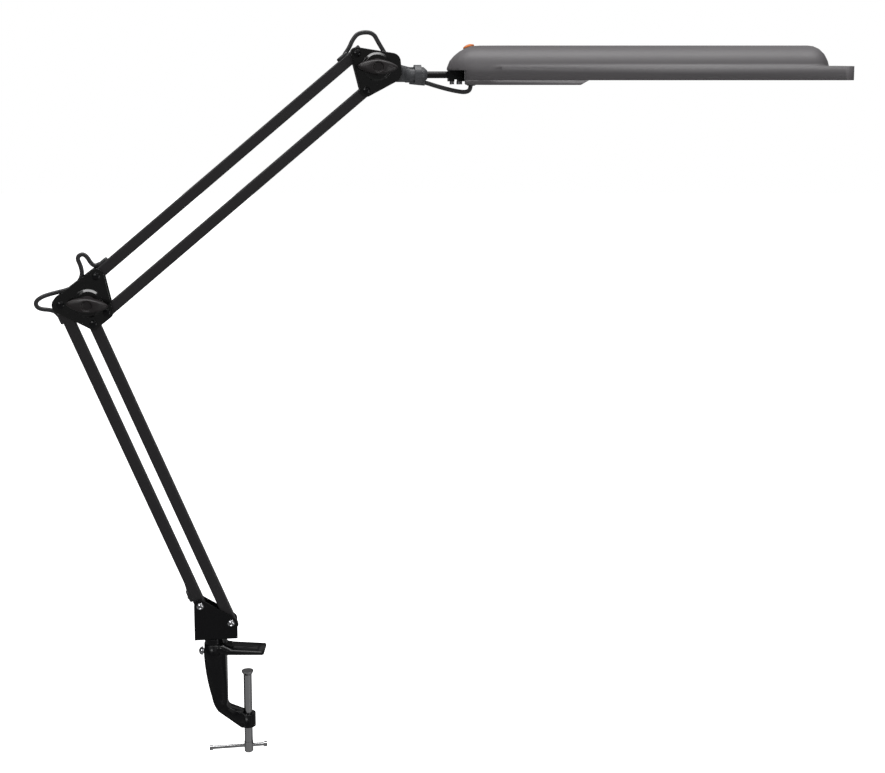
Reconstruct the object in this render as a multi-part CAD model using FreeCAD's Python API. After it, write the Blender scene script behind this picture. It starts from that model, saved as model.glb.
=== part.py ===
import FreeCAD, Part
import math
import os

# Desk lamp on a double parallelogram arm, held by a screw clamp at the edge of a desk.
# Row frame, millimetres: the origin lies on the clamp screw's axis, in the plane of the jaw's
# underside, where the desk top is. +X points along the jaw over the desk, +Z up, and -Y is the
# front, where the wing knobs are.
# The arm is drawn in a frame of its own: u to the right, v to the rear, w up, with the swivel post
# on the w axis. It is then turned by ARM_YAW about the post.
# The swivel piece, the rod and its bracket are drawn in the arm's frame, but from the point of the
# rod's axis that lies under the head knob.
# The head is drawn from the point of the rod's axis that the yaw bolt crosses, with x along the head.

os.makedirs("parts", exist_ok=True)

V = FreeCAD.Vector

# ---- clearances -------------------------------------------------------------------------------
RUN = 0.05              # radial running fit of a pin or shaft in its hole
SIDE_RUN = 0.05         # side play between a bushing's flange and its plate
PLAY = 0.3              # open play round a pressed button
CABLE_PLAY = 0.2        # radial room for the cable in grommets and ducts
BORE_ROOM = 0.5         # a blind bore's depth past the end of its pin
THROUGH = 50.0          # half the length of a cutting pin that goes right through

# ---- clamp ------------------------------------------------------------------------------------
POST_TO_SCREW = 38.0    # swivel post axis to clamp screw axis
JAW_LENGTH = 20.8       # jaw's free end past the clamp screw's axis
JAW_WIDTH = 30.0
JAW_TIP = 2.6           # jaw's thickness at its free end
JAW_ROOT = 4.6          # and at the foot of its curl
JAW_CREASE = 0.8        # depth of the pressed crease along the jaw
CREASE_WIDTH = 9.0
CREASE_START = 23.0     # ends of the crease, from the post's axis
CREASE_END = 50.0
JAW_START = 2.0
JAW_PLAN = ((2.0, 9.0), (7.0, 11.0), (18.0, 15.0))  # from the post's axis, and half the width there
JAW_CURL = ((20.0, 4.6), (14.5, 6.2), (12.4, 9.0))  # the jaw's top where it curls up to the socket
JAW_CORNER = 2.0
FRAME_DEPTH = 15.0      # thickness of the C frame, front to rear
THROAT = 14.2           # inner face of the C frame from the post's axis
FRAME_TOP = 3.0         # the C frame ends inside the socket
SPINE = ((-10.9, 3.0), (-8.2, -28.0), (-2.6, -54.0), (0.2, -64.0), (4.5, -71.5))  # outer curve
THROAT_CORNER = ((0.0, -62.0), (1.0, -65.6), (3.8, -68.0))  # inner corner, from the throat's face
FRAME_FOOT = 7.0        # the C frame's underside is level from here to the screw's axis
SOCKET_R = 11.2
SOCKET_TOP = 9.0
SOCKET_LOW = -6.0       # lower end of the round socket
SOCKET_TAPER = 18.0     # height of its tapered root
BOSS_R = 8.6
BOSS_TOP = -75.8
BOSS_LOW = -91.2
SCREW_R = 4.8           # clamp screw, over its thread
SCREW_HEAD_R = 5.2
SCREW_HEAD_TOP = -110.5
SCREW_LOW = -123.2
SCREW_NECK_R = 2.5      # neck that carries the pad
SCREW_CHAMFER = 1.2
PAD_R = 6.8
PAD_TOP = -24.5
PAD_RIM = 1.3           # height of the pad's rim
PAD_HEIGHT = 4.5
PAD_SOCKET = 2.6        # depth of the socket in the pad
BAR_R = 2.0             # tommy bar
BAR_Z = -115.6
BAR_LENGTH = 66.5
BAR_END_R = 3.1
BAR_END_LENGTH = 4.0
BAR_SHIFT = -12.0       # where the bar has slid to in its hole
BAR_YAW = 9.0
SET_SCREW_Z = -0.6
SET_SCREW_R = 3.0
SET_HEAD_R = 4.8
SET_HEAD_HEIGHT = 4.6
SET_HEAD_GAP = 1.8      # head's underside to the socket

# ---- swivel post and base bracket -------------------------------------------------------------
ARM_YAW = 8.0           # the arm's turn about the post
POST_R = 8.0
POST_COLLAR_R = 10.4
POST_LOW = -13.0
POST_CHAMFER = 1.0
BRACKET_LOW = 16.0
BRACKET_STEEL = 2.0
BRACKET_ROUND = 7.1     # radius of the bracket's lobes round its pivots
POST_RIVET_R = 5.0
POST_RIVET_HEAD_R = 6.4
POST_RIVET_HEAD = 1.8

# ---- arm --------------------------------------------------------------------------------------
TUBE = 12.0             # square tube, outside
TUBE_WALL = 1.0
TUBE_CORNER = 1.2
TUBE_TAIL = 7.2         # tube past its pivot
LOWER_SPAN = 380.0      # pivot to pivot
UPPER_SPAN = 377.0
LOWER_ANGLE = 112.2
UPPER_ANGLE = 40.0
BASE_PIVOT_U = -14.5    # first pivot of the base bracket
BASE_PIVOT_W = 56.3
LOWER_LINK = 41.0       # pivot spacing of the lower parallelogram's short sides
LOWER_LINK_ANGLE = -32.4
UPPER_LINK = 41.8
UPPER_LINK_ANGLE = -75.8
ELBOW_OFFSET_U = 39.2   # upper parallelogram's first pivot from the lower one's
ELBOW_OFFSET_W = 30.9
PIN_R = 2.5             # pivot screws and rivets
BUSH_R = 3.6            # bushing's barrel in the tube's wall
BUSH_REACH = 1.6        # barrel's reach past the tube's wall
FLANGE_R = 5.4
FLANGE = 0.6
PAN_HEAD_R = 4.1
PAN_HEAD = 2.6
RECESS_WIDTH = 1.0
RECESS_DEPTH = 1.3
NUT_FLATS = 8.0
NUT_HEIGHT = 4.0
SCREW_PAST_NUT = 1.0
RIVET_HEAD_R = 4.2
RIVET_HEAD = 1.8

# ---- cable grommets in the tubes' walls --------------------------------------------------------
GROMMET_AT = 14.0       # middle of the grommet from the nearest pivot
GROMMET_LENGTH = 15.0
GROMMET_WIDTH = 8.0
GROMMET_PROUD = 3.2
GROMMET_STEM = 13.5
GROMMET_STEM_WIDTH = 6.8

# ---- joint plates and knobs --------------------------------------------------------------------
PLATE = 1.6
KNOB_FROM_ELBOW_U = 29.6   # elbow knob from the elbow's lower-left pivot
KNOB_FROM_ELBOW_W = 1.0
KNOB_FROM_HEAD_U = 21.9    # head knob from the head plates' upper pivot
KNOB_FROM_HEAD_W = -14.5
DISH_R = 16.0           # pressed dish round the knob, at its foot
DISH_TOP_R = 13.6
DISH_RISE = 2.4
ELBOW_ROUNDS = (9.5, 6.5, 7.0, 8.5)    # elbow plates' radii: left, low, right, top
HEAD_ROUND = 7.0        # head plates' radius at both rivets
HEAD_NOSE = ((18.2, -7.3, 9.5), (16.7, 5.5, 9.8))  # rounds of their nose, from the knob: u, w, radius
LIP_RISE = 1.2          # turned lip along the plates' edge
LIP_WIDTH = 1.2
BOLT_R = 3.0
SPACER_R = 5.0
BOLT_HEAD_R = 7.0
BOLT_HEAD = 3.2
INSERT_R = 4.6
INSERT_FLANGE_R = 7.0
INSERT_FLANGE = 1.0
KNOB_HEIGHT = 15.5
KNOB_HUB_R = 9.2
KNOB_TOP_R = 7.6
WING_REACH = 18.6       # centre of a wing's tip from the knob's axis
WING_TIP_R = 3.9
WING_FOOT = 3.6         # wings stand this far from the knob's foot
WING_DROP = 2.0         # and end this far below its face
KNOB_DIMPLE_R = 5.2
KNOB_DIMPLE = 1.4
ELBOW_KNOB_TURN = -5.0
HEAD_KNOB_TURN = -2.3
BOLT_SHORT = 3.0        # bolt's end below the knob's face

# ---- swivel piece and rod ----------------------------------------------------------------------
TONGUE = 11.9           # thickness of the tongue between the head plates
TONGUE_R = 9.0
TONGUE_LAP = 4.0        # the tongue's reach into the barrel
DISC_R = 8.0            # friction discs beside the tongue
ROD_DROP = 9.0          # rod's axis below the head knob's
ROD_R = 3.8
ROD_START = 41.2        # this and the next stations are along the rod from the head knob
SWIVEL_BARREL_R = 8.6
SWIVEL_BARREL_START = 32.2
SWIVEL_BARREL_END = 52.8
SWIVEL_NOSE_END = 56.8
SWIVEL_NOSE_R = 4.9
SHOULDER_START = 22.2
SHOULDER_LOW = -7.9     # from the rod's axis
SHOULDER_TOP = 8.6
RING_START = 42.2
RING_WIDTH = 7.6
RING_R = 11.0
RING_FLATS = 8          # sides of the grip ring
DUCT_R = 3.8            # wall of the cable duct under the barrel
DUCT_LEAD = 3.0         # the duct starts this far before the cable's third bend
DUCT_LIFT = 0.3
YAW_FROM_KNOB = 93.2    # yaw bolt's axis
BLOCK_LENGTH = 12.7     # bracket block, from the yaw axis to its left end
BLOCK_HALF = 6.0        # half its width, and the radius of its round end
BLOCK_LOW = -7.3        # from the rod's axis
ROD_SHORT = 2.0         # rod's end inside the block's round end
CEILING = 5.3           # underside of the head over the bracket block
YAW_PIN_R = 2.5
YAW_HEAD_R = 3.2
YAW_HEAD = 3.4
YAW_WASHER_R = 5.2
YAW_WASHER = 1.0
YAW_PAST_NUT = 1.4
CLAMP_SCREW_AT = 8.4    # screw that holds the rod in the block, from the yaw axis
CLAMP_SCREW_R = 1.6
CLAMP_SCREW_LENGTH = 5.0
CLAMP_HEAD_R = 2.5
GRUB_R = 1.5
GRUB_SINK = 0.6         # the grub screw's end below the ring's top
FEET_GAP = 4.2          # slot between the block's two feet

# ---- head --------------------------------------------------------------------------------------
HOOD_LEFT = -14.1       # from the yaw axis
NOTCH = 6.6             # end of the notch for the bracket block
NOSE_END = 17.0         # where the nose reaches full height
SIDES_END = 46.0        # where the nose reaches full width
NOSE_STATIONS = (0.0, 0.1, 0.26, 0.45, 0.65, 0.87)  # sections of the nose, as shares of its length
SIDE_STATIONS = (0.17, 0.52, 1.0)   # and from there to its full width
HOOD_LOW = -5.5         # heights are from the rod's axis
HOOD_TOP = 32.2
GRIP_TOP = 9.8
SIDE_TOP = 5.6          # where the side starts to curve in
SHOULDER_SHARE = 0.35   # the same over the nose, as a share of its height there
NOSE_LOW = 7.3          # nose's tip, upper edge
NOSE_BLUNT = 1.6        # power of the nose's quarter ellipse
HOOD_HALF = 46.0
CREST_HALF = 15.0       # half the flat crest
NOSE_HALF = 15.0        # half the width of the nose's tip
HOOD_WALL = 2.4
GRIP_CORNER = 12.0
COVER_LOW = -10.6
COVER_END = 131.9
COVER_SLOPE = 8.9       # run of the cover's slanted end
COVER_WALL = 2.0
COVER_STATIONS = (0.0, 0.14, 0.34, 0.645, 1.0)   # of the cover's plan, from the notch to full width
COVER_SCREW_R = 1.5
COVER_SCREW_LENGTH = 9.0
COVER_SCREW_HEAD_R = 2.9
COVER_SCREW_HEAD = 1.6
COVER_RECESS = 0.9      # depth of the cross recess
COVER_SCREW_FIRST = 58.0
COVER_SCREW_LAST = 24.0 # second pair of screws, before the cover's end
COVER_BOSS_R = 4.0
COVER_BOSS = 9.0        # height of a boss in the hood
COVER_PILOT = 7.0
BOSS_TUCK = 0.5         # the bosses grow into the wall by this
HOLDER_GAP = 2.7        # from the cover's end to the lampholder
HOLDER_LENGTH = 19.0
HOLDER_WIDTH = 34.0
HOLDER_RIM = 1.0        # the holder is higher than the lamp's base by this, above and below
HOLDER_PILLAR = 16.0
LAMP_Z = 5.1
LAMP_BASE_LENGTH = 24.0
LAMP_BASE_WIDTH = 30.0
LAMP_BASE_HEIGHT = 13.0
LAMP_BASE_CORNER = 3.0
LAMP_PIN_R = 1.2
LAMP_PIN = 6.5
LAMP_PIN_HALF = 5.75    # half the distance between the pins
LAMP_PIN_ROOM = 0.1
LAMP_GLASS = 211.5      # from the lamp's base to the tubes' tips
LAMP_TUBE_R = 6.1
LAMP_SPACING = 15.0     # between the two glass tubes' axes
LAMP_BRIDGE_R = 3.0
CLIP_FROM_TIP = 46.0
CLIP_WIDTH = 9.0
CLIP_STEEL = 0.8
CLIP_HOLD = 2.0         # the clip's jaws end this far below the tubes' axes
LAMP_IN_TAIL = 14.0     # the lamp's tips lie this far past the end of the level crest
HUMP_FALL = 21.5        # run of the hump's falling end
HUMP_TUCK = 7.0         # the hump's end is narrower than the grip by this on each side
HUMP_STATIONS = (0.0, 0.28, 0.56, 0.8, 0.93, 1.0)
GRIP_REACH = 26.7       # grip past the hump's foot
REFLECTOR_LEAD = 1.5    # the reflector starts this far before the lampholder
REFLECTOR_SHORT = 3.0   # and ends this far before the level crest does
REFLECTOR_SHEET = 0.8
REFLECTOR_LIP = 3.0
REFLECTOR_LIP_Z = -1.9
BALLAST_START = 36.0
BALLAST_LENGTH = 70.0
BALLAST_WIDTH = 38.0
BALLAST_HEIGHT = 24.0
BALLAST_COIL = 46.0     # length of the winding between the core's ends
BALLAST_COIL_WIDTH = 22.8
BALLAST_COIL_HEIGHT = 29.0
TERMINAL_LENGTH = 13.0
TERMINAL_WIDTH = 18.0
TERMINAL_LOW = -2.9
TERMINAL_HEIGHT = 10.0
TERMINAL_PITCH = 6.0
TERMINAL_WELL = 4.0
TERMINAL_WELL_R = 1.5
BUTTON_X = 10.3
BUTTON_TILT = 17.0      # the button leans towards the nose
BUTTON_R = 6.3
BUTTON_DOME = 1.9
BUTTON_PROUD = 0.9
BUTTON_SKIRT = 3.2
BUTTON_WELL = 6.0
BUTTON_WELL_WALL = 2.4
STEM_R = 2.4
STEM_REACH = 8.6
SWITCH_SIZE = 14.0
SWITCH_HEIGHT = 11.0
SWITCH_BORE = 12.0

# ---- cable -------------------------------------------------------------------------------------
CABLE_R = 2.4
GLAND_R = 4.6           # grommet in the head's underside
GLAND_PROUD = 1.6
GLAND_NECK = 3.4
GLAND_FLANGE = 1.0
GLAND_CHAMFER = 0.6
# Points of the cable in the tubes, along a tube from its nearest pivot and out from its axis.
TUBE_EXIT = ((22.0, 0.0), (13.0, 7.2), (3.4, 9.4))
INLET_START = (11.2, 8.6)
# Points of the free loops, right and up. Each loop is divided between two bodies, and its points
# are measured from the pivot that carries them.
ELBOW_LOOP_UPPER = ((-12.1, 25.3), (-21.2, 21.2), (-16.4, 10.0), (-15.4, -0.5),
                    (-22.6, -11.0), (-33.1, -15.7))                     # from the elbow's top pivot
ELBOW_LOOP_LOWER = ((-8.4, 12.2), (-21.4, 8.2), (-28.2, 2.2), (-24.9, -5.2))  # from its left pivot
HEAD_LOOP_UPPER = ((-3.9, 15.6), (2.6, 22.9))                           # from the head's top pivot
HEAD_LOOP_LOWER = ((-3.5, 46.8), (2.7, 35.1), (10.2, 22.9))     # from the rod's axis under the knob
SWIVEL_DUCT = ((20.2, 4.1), (30.2, -4.7), (40.2, -6.9), (54.2, -8.3))
LAMP_LOOP_LEFT = ((-28.0, -11.9), (-17.5, -14.9))               # from the rod's axis at the yaw bolt
LAMP_LOOP_RIGHT = ((-4.0, -18.2), (8.0, -19.7))
HEAD_TURN = -15.4       # height where the cable has turned up under the head
HEAD_ENTRY = 13.3       # cable's entry into the head, from the yaw axis


# ---- drawing helpers ---------------------------------------------------------------------------
def ray(angle, length=1.0):
    """A vector of the given length in the arm's plane, its angle in degrees from u towards w."""
    turn = math.radians(angle)
    return V(length * math.cos(turn), 0, length * math.sin(turn))


def hull_wire(circles):
    """Closed outline round circles (u, w, radius), given counterclockwise; radius 0 is a corner."""
    starts = []
    ends = []
    count = len(circles)
    for index in range(count):
        u0, w0, r0 = circles[index]
        u1, w1, r1 = circles[(index + 1) % count]
        along = V(u1 - u0, 0, w1 - w0)
        lean = (r0 - r1) / along.Length
        along.normalize()
        side = V(along.z, 0, -along.x)
        out = along * lean + side * math.sqrt(1 - lean * lean)
        starts.append(V(u0, 0, w0) + out * r0)
        ends.append(V(u1, 0, w1) + out * r1)
    edges = []
    for index in range(count):
        u0, w0, r0 = circles[index]
        arrive = ends[index - 1]
        leave = starts[index]
        if r0 > 0 and (arrive - leave).Length > 1e-6:
            centre = V(u0, 0, w0)
            middle = (arrive - centre) + (leave - centre)
            if middle.Length < 1e-6:
                middle = V((leave - arrive).z, 0, -(leave - arrive).x)
            middle.normalize()
            edges.append(Part.Arc(arrive, centre + middle * r0, leave).toShape())
        edges.append(Part.LineSegment(leave, ends[index]).toShape())
    return Part.Wire(edges)


def slab(wire, front, rear):
    """Solid between two v positions over an outline in the u-w plane."""
    face = Part.Face(wire)
    face.translate(V(0, front, 0))
    return face.extrude(V(0, rear - front, 0))


def flat_points(pairs, origin=V(0, 0, 0)):
    """Points in the middle plane, from (right, up) pairs measured from an origin in it."""
    return [origin + V(u, 0, w) for u, w in pairs]


def polygon(points):
    """Closed wire through the points."""
    return Part.makePolygon(list(points) + [points[0]])


def pin(centre, radius, front, rear):
    """Cylinder across the arm, from one v position to another."""
    return Part.makeCylinder(radius, rear - front, V(centre.x, front, centre.z), V(0, 1, 0))


def cross_bore(centre, radius):
    """Cutting pin right across the arm."""
    return pin(centre, radius, -THROUGH, THROUGH)


def upright_bore(x, y, radius):
    """Cutting pin along w or z, right through the part in both directions."""
    return Part.makeCylinder(radius, 2 * THROUGH, V(x, y, -THROUGH))


def turned(profile, centre, axis):
    """Solid of revolution: profile holds (radius, distance along the axis) pairs."""
    points = [V(radius, 0, along) for radius, along in profile]
    solid = Part.Face(polygon(points)).revolve(V(0, 0, 0), V(0, 0, 1), 360)
    solid.Placement = FreeCAD.Placement(centre, FreeCAD.Rotation(V(0, 0, 1), axis))
    return solid


def domed_head(radius, height, centre, axis):
    """Low rounded head: a flat cylinder's foot under a spherical cap."""
    foot = height * 0.3
    cap = height - foot
    ball = (radius * radius + cap * cap) / (2 * cap)
    sphere = Part.makeSphere(ball, V(0, 0, height - ball))
    head = Part.makeCylinder(radius, height).common(sphere)
    head.Placement = FreeCAD.Placement(centre, FreeCAD.Rotation(V(0, 0, 1), axis))
    return head


def cross_recess(radius, depth, centre, axis):
    """Cross-shaped recess to cut from a screw's head; centre is on the head's top."""
    reach = radius * 1.15
    half = RECESS_WIDTH / 2
    one = Part.makeBox(2 * reach, RECESS_WIDTH, depth, V(-reach, -half, -depth))
    two = Part.makeBox(RECESS_WIDTH, 2 * reach, depth, V(-half, -reach, -depth))
    recess = one.fuse(two)
    recess = recess.common(Part.makeCone(radius * 0.35, radius * 0.62, depth, V(0, 0, -depth)))
    recess.Placement = FreeCAD.Placement(centre, FreeCAD.Rotation(V(0, 0, 1), axis))
    return recess


def hexagon(flats, height, centre, axis):
    """Hexagonal prism for a nut."""
    corner = flats / math.sqrt(3)
    points = [V(corner * math.cos(math.radians(60 * k)), corner * math.sin(math.radians(60 * k)), 0)
              for k in range(6)]
    nut = Part.Face(polygon(points)).extrude(V(0, 0, height))
    nut.Placement = FreeCAD.Placement(centre, FreeCAD.Rotation(V(0, 0, 1), axis))
    return nut


def route_wire(points):
    """Straight runs joined by tangent arcs, each as large as its two runs allow."""
    edges = []
    radii = []
    start = points[0]
    for before, corner, after in zip(points, points[1:], points[2:]):
        arrive = corner - before
        leave = after - corner
        turn = arrive.getAngle(leave)
        shorter = min(arrive.Length, leave.Length)
        cut = 0.45 * shorter
        radius = cut / math.tan(turn / 2)
        arrive.normalize()
        leave.normalize()
        first = corner - arrive * cut
        last = corner + leave * cut
        inward = leave - arrive
        inward.normalize()
        centre = corner + inward * (radius / math.cos(turn / 2))
        middle = centre - inward * radius
        edges.append(Part.LineSegment(start, first).toShape())
        edges.append(Part.Arc(first, middle, last).toShape())
        radii.append(round(radius, 1))
        start = last
    edges.append(Part.LineSegment(start, points[-1]).toShape())
    return Part.Wire(edges), radii


def cable_tube(points, radius, name=""):
    """Round cable along a route; prints its bend radii and checks its volume."""
    wire, radii = route_wire(points)
    heading = wire.Edges[0].tangentAt(wire.Edges[0].FirstParameter)
    ring = Part.Wire(Part.makeCircle(radius, points[0], heading))
    tube = wire.makePipeShell([ring], True, False)
    if name:
        ideal = math.pi * radius * radius * wire.Length
        print("%s: length %.0f, radii %s, volume over section x length %.4f"
              % (name, wire.Length, radii, tube.Volume / ideal))
    return tube


def to_row(shape):
    """From the arm's frame to the row frame."""
    moved = shape.copy()
    moved.rotate(V(0, 0, 0), V(0, 0, 1), ARM_YAW)
    moved.translate(V(-POST_TO_SCREW, 0, 0))
    return moved


def clamp_to_row(shape):
    """From the post's axis to the row frame, with no turn."""
    moved = shape.copy()
    moved.translate(V(-POST_TO_SCREW, 0, 0))
    return moved


def rod_to_row(shape):
    """From the rod's axis under the head knob to the row frame."""
    moved = shape.copy()
    moved.translate(ROD_ORIGIN)
    return to_row(moved)


def head_to_row(shape):
    """From the head's frame to the row frame."""
    turn = math.radians(ARM_YAW)
    moved = shape.copy()
    moved.translate(V(YAW_ORIGIN.x * math.cos(turn) - POST_TO_SCREW, YAW_ORIGIN.x * math.sin(turn),
                      YAW_ORIGIN.z))
    return moved


def export(node, *shapes):
    """Write one node's solids to its file."""
    solids = [solid for shape in shapes for solid in shape.Solids]
    body = solids[0] if len(solids) == 1 else Part.makeCompound(solids)
    assert all(solid.isValid() and solid.Volume > 0 for solid in solids), node
    body.exportStep("parts/%s.step" % node)
    print("%-24s solids %d  volume %.0f" % (node, len(solids), body.Volume))


# ---- pivots of the arm, in its own frame --------------------------------------------------------
BASE_LEFT = V(BASE_PIVOT_U, 0, BASE_PIVOT_W)
BASE_RIGHT = BASE_LEFT + ray(LOWER_LINK_ANGLE, LOWER_LINK)
ELBOW_LEFT = BASE_LEFT + ray(LOWER_ANGLE, LOWER_SPAN)
ELBOW_LOW = BASE_RIGHT + ray(LOWER_ANGLE, LOWER_SPAN)
ELBOW_TOP = ELBOW_LEFT + V(ELBOW_OFFSET_U, 0, ELBOW_OFFSET_W)
ELBOW_RIGHT = ELBOW_TOP + ray(UPPER_LINK_ANGLE, UPPER_LINK)
HEAD_TOP = ELBOW_TOP + ray(UPPER_ANGLE, UPPER_SPAN)
HEAD_LOW = ELBOW_RIGHT + ray(UPPER_ANGLE, UPPER_SPAN)
ELBOW_KNOB = ELBOW_LEFT + V(KNOB_FROM_ELBOW_U, 0, KNOB_FROM_ELBOW_W)
HEAD_KNOB = HEAD_TOP + V(KNOB_FROM_HEAD_U, 0, KNOB_FROM_HEAD_W)
ROD_ORIGIN = HEAD_KNOB + V(0, 0, -ROD_DROP)
YAW_ORIGIN = ROD_ORIGIN + V(YAW_FROM_KNOB, 0, 0)
INNER = TUBE / 2 + FLANGE + SIDE_RUN       # inner face of the plates beside the tubes
FRONT = V(0, -1, 0)
REAR = V(0, 1, 0)


# ---- stations along the head ---------------------------------------------------------------------
HOLDER_START = COVER_END + COVER_SLOPE + HOLDER_GAP
LAMP_START = HOLDER_START + HOLDER_LENGTH           # the lamp's base starts at the holder's face
LAMP_TIP = LAMP_START + LAMP_BASE_LENGTH + LAMP_GLASS
HUMP_END = LAMP_TIP - LAMP_IN_TAIL                  # where the hump starts to fall
HUMP_FOOT = HUMP_END + HUMP_FALL                    # and where it meets the grip
HOOD_RIGHT = HUMP_FOOT + GRIP_REACH
CLIP_AT = LAMP_TIP - CLIP_FROM_TIP


# ---- clamp ---------------------------------------------------------------------------------------
def frame_outline():
    """Side view of the C frame, from the post's axis."""
    spine = flat_points(SPINE)
    inner = [V(THROAT + x, 0, z) for x, z in THROAT_CORNER]
    arm_low = V(POST_TO_SCREW - FRAME_FOOT, 0, BOSS_LOW)
    arm_end = V(POST_TO_SCREW, 0, BOSS_LOW)
    arm_top_end = V(POST_TO_SCREW, 0, BOSS_TOP)
    inner_top = V(THROAT, 0, FRAME_TOP)
    edges = [Part.Arc(spine[0], spine[1], spine[2]).toShape(),
             Part.Arc(spine[2], spine[3], spine[4]).toShape(),
             Part.makeLine(spine[4], arm_low),
             Part.makeLine(arm_low, arm_end),
             Part.makeLine(arm_end, arm_top_end),
             Part.makeLine(arm_top_end, inner[2]),
             Part.Arc(inner[2], inner[1], inner[0]).toShape(),
             Part.makeLine(inner[0], inner_top),
             Part.makeLine(inner_top, spine[0])]
    return Part.Wire(edges)


def jaw():
    """Flat jaw that rests on the desk, with its curl up to the socket and its pressed crease."""
    tip = POST_TO_SCREW + JAW_LENGTH
    half = JAW_WIDTH / 2
    side = polygon([V(JAW_START, 0, 0), V(tip, 0, 0), V(tip, 0, JAW_TIP)] + flat_points(JAW_CURL)
                   + [V(JAW_START, 0, SOCKET_TOP)])
    plate = slab(side, -half, half)
    rear = [V(x, y, 0) for x, y in JAW_PLAN]
    rear += [V(tip - JAW_CORNER, half, 0), V(tip, half - JAW_CORNER, 0)]
    front = [V(p.x, -p.y, 0) for p in rear]
    column = Part.Face(polygon(front + rear[::-1])).extrude(V(0, 0, 2 * SOCKET_TOP))
    crease = polygon([V(CREASE_START, -CREASE_WIDTH / 2, JAW_ROOT),
                      V(CREASE_START, CREASE_WIDTH / 2, JAW_ROOT),
                      V(CREASE_START, 0, JAW_ROOT - JAW_CREASE)])
    run = CREASE_END - CREASE_START
    fall = V(run, 0, (JAW_TIP - JAW_ROOT) * run / (tip - JAW_CURL[0][0]))
    return plate.common(column).cut(Part.Face(crease).extrude(fall))


def clamp_frame():
    """One casting: socket, C frame, jaw and threaded boss."""
    body = slab(frame_outline(), -FRAME_DEPTH / 2, FRAME_DEPTH / 2)
    socket = Part.makeCylinder(SOCKET_R, SOCKET_TOP - SOCKET_LOW, V(0, 0, SOCKET_LOW))
    socket_root = Part.makeCone(FRAME_DEPTH / 2, SOCKET_R, SOCKET_TAPER, V(0, 0, SOCKET_LOW - SOCKET_TAPER))
    boss = Part.makeCylinder(BOSS_R, BOSS_TOP - BOSS_LOW, V(POST_TO_SCREW, 0, BOSS_LOW))
    casting = body.fuse([socket, socket_root, boss, jaw()])
    post_floor = POST_LOW - BORE_ROOM
    post_bore = Part.makeCylinder(POST_R + RUN, 2 * SOCKET_TOP - post_floor, V(0, 0, post_floor))
    screw_bore = Part.makeCylinder(SCREW_R + RUN, 3 * (BOSS_TOP - BOSS_LOW),
                                   V(POST_TO_SCREW, 0, 2 * BOSS_LOW - BOSS_TOP))
    set_bore = Part.makeCylinder(SET_SCREW_R, 2 * SOCKET_R, V(-2 * SOCKET_R, 0, SET_SCREW_Z), V(1, 0, 0))
    return casting.cut([post_bore, screw_bore, set_bore]).removeSplitter()


def socket_set_screw():
    """Pan-head screw that clamps the post in its socket."""
    seat = -(SOCKET_R + SET_HEAD_GAP)
    head = domed_head(SET_HEAD_R, SET_HEAD_HEIGHT, V(seat, 0, SET_SCREW_Z), V(-1, 0, 0))
    shank = Part.makeCylinder(SET_SCREW_R, -POST_R - RUN - seat, V(seat, 0, SET_SCREW_Z), V(1, 0, 0))
    recess = cross_recess(SET_HEAD_R, RECESS_DEPTH, V(seat - SET_HEAD_HEIGHT, 0, SET_SCREW_Z), V(-1, 0, 0))
    return head.fuse(shank).cut(recess)


def pressure_pad():
    """Round pad on the clamp screw's end."""
    low = PAD_TOP - PAD_HEIGHT
    neck = SCREW_NECK_R + RUN
    roof = low + PAD_SOCKET
    profile = [(0, PAD_TOP), (PAD_R, PAD_TOP), (PAD_R, PAD_TOP - PAD_RIM), (SCREW_R, low),
               (neck, low), (neck, roof), (0, roof)]
    return turned(profile, V(POST_TO_SCREW, 0, 0), V(0, 0, 1))


def clamp_screw():
    """Clamp screw with its neck, shank and cross-drilled head."""
    shoulder = PAD_TOP - PAD_HEIGHT - SIDE_RUN
    tip = PAD_TOP - PAD_HEIGHT + PAD_SOCKET - SIDE_RUN
    profile = [(0, tip), (SCREW_NECK_R, tip), (SCREW_NECK_R, shoulder), (SCREW_R, shoulder),
               (SCREW_R, SCREW_HEAD_TOP), (SCREW_HEAD_R, SCREW_HEAD_TOP),
               (SCREW_HEAD_R, SCREW_LOW + SCREW_CHAMFER), (SCREW_HEAD_R - SCREW_CHAMFER, SCREW_LOW),
               (0, SCREW_LOW)]
    screw = turned(profile, V(POST_TO_SCREW, 0, 0), V(0, 0, 1))
    return screw.cut(bar_shape(BAR_R + RUN, 4 * SCREW_R, 0))


def bar_shape(radius, length, shift):
    """Cylinder along the tommy bar's axis, shifted from the screw's axis."""
    turn = math.radians(BAR_YAW)
    along = V(math.cos(turn), math.sin(turn), 0)
    start = V(POST_TO_SCREW, 0, BAR_Z) + along * (shift - length / 2)
    return Part.makeCylinder(radius, length, start, along)


def tommy_bar():
    """Sliding bar with its two upset ends."""
    bar = bar_shape(BAR_R, BAR_LENGTH, BAR_SHIFT)
    reach = (BAR_LENGTH - BAR_END_LENGTH) / 2
    left = bar_shape(BAR_END_R, BAR_END_LENGTH, BAR_SHIFT - reach)
    right = bar_shape(BAR_END_R, BAR_END_LENGTH, BAR_SHIFT + reach)
    return bar.fuse([left, right])


def build_clamp():
    for name, make in (("clamp_frame", clamp_frame), ("socket_set_screw", socket_set_screw),
                       ("pressure_pad", pressure_pad), ("clamp_screw", clamp_screw),
                       ("tommy_bar", tommy_bar)):
        export(name, clamp_to_row(make()))


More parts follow.
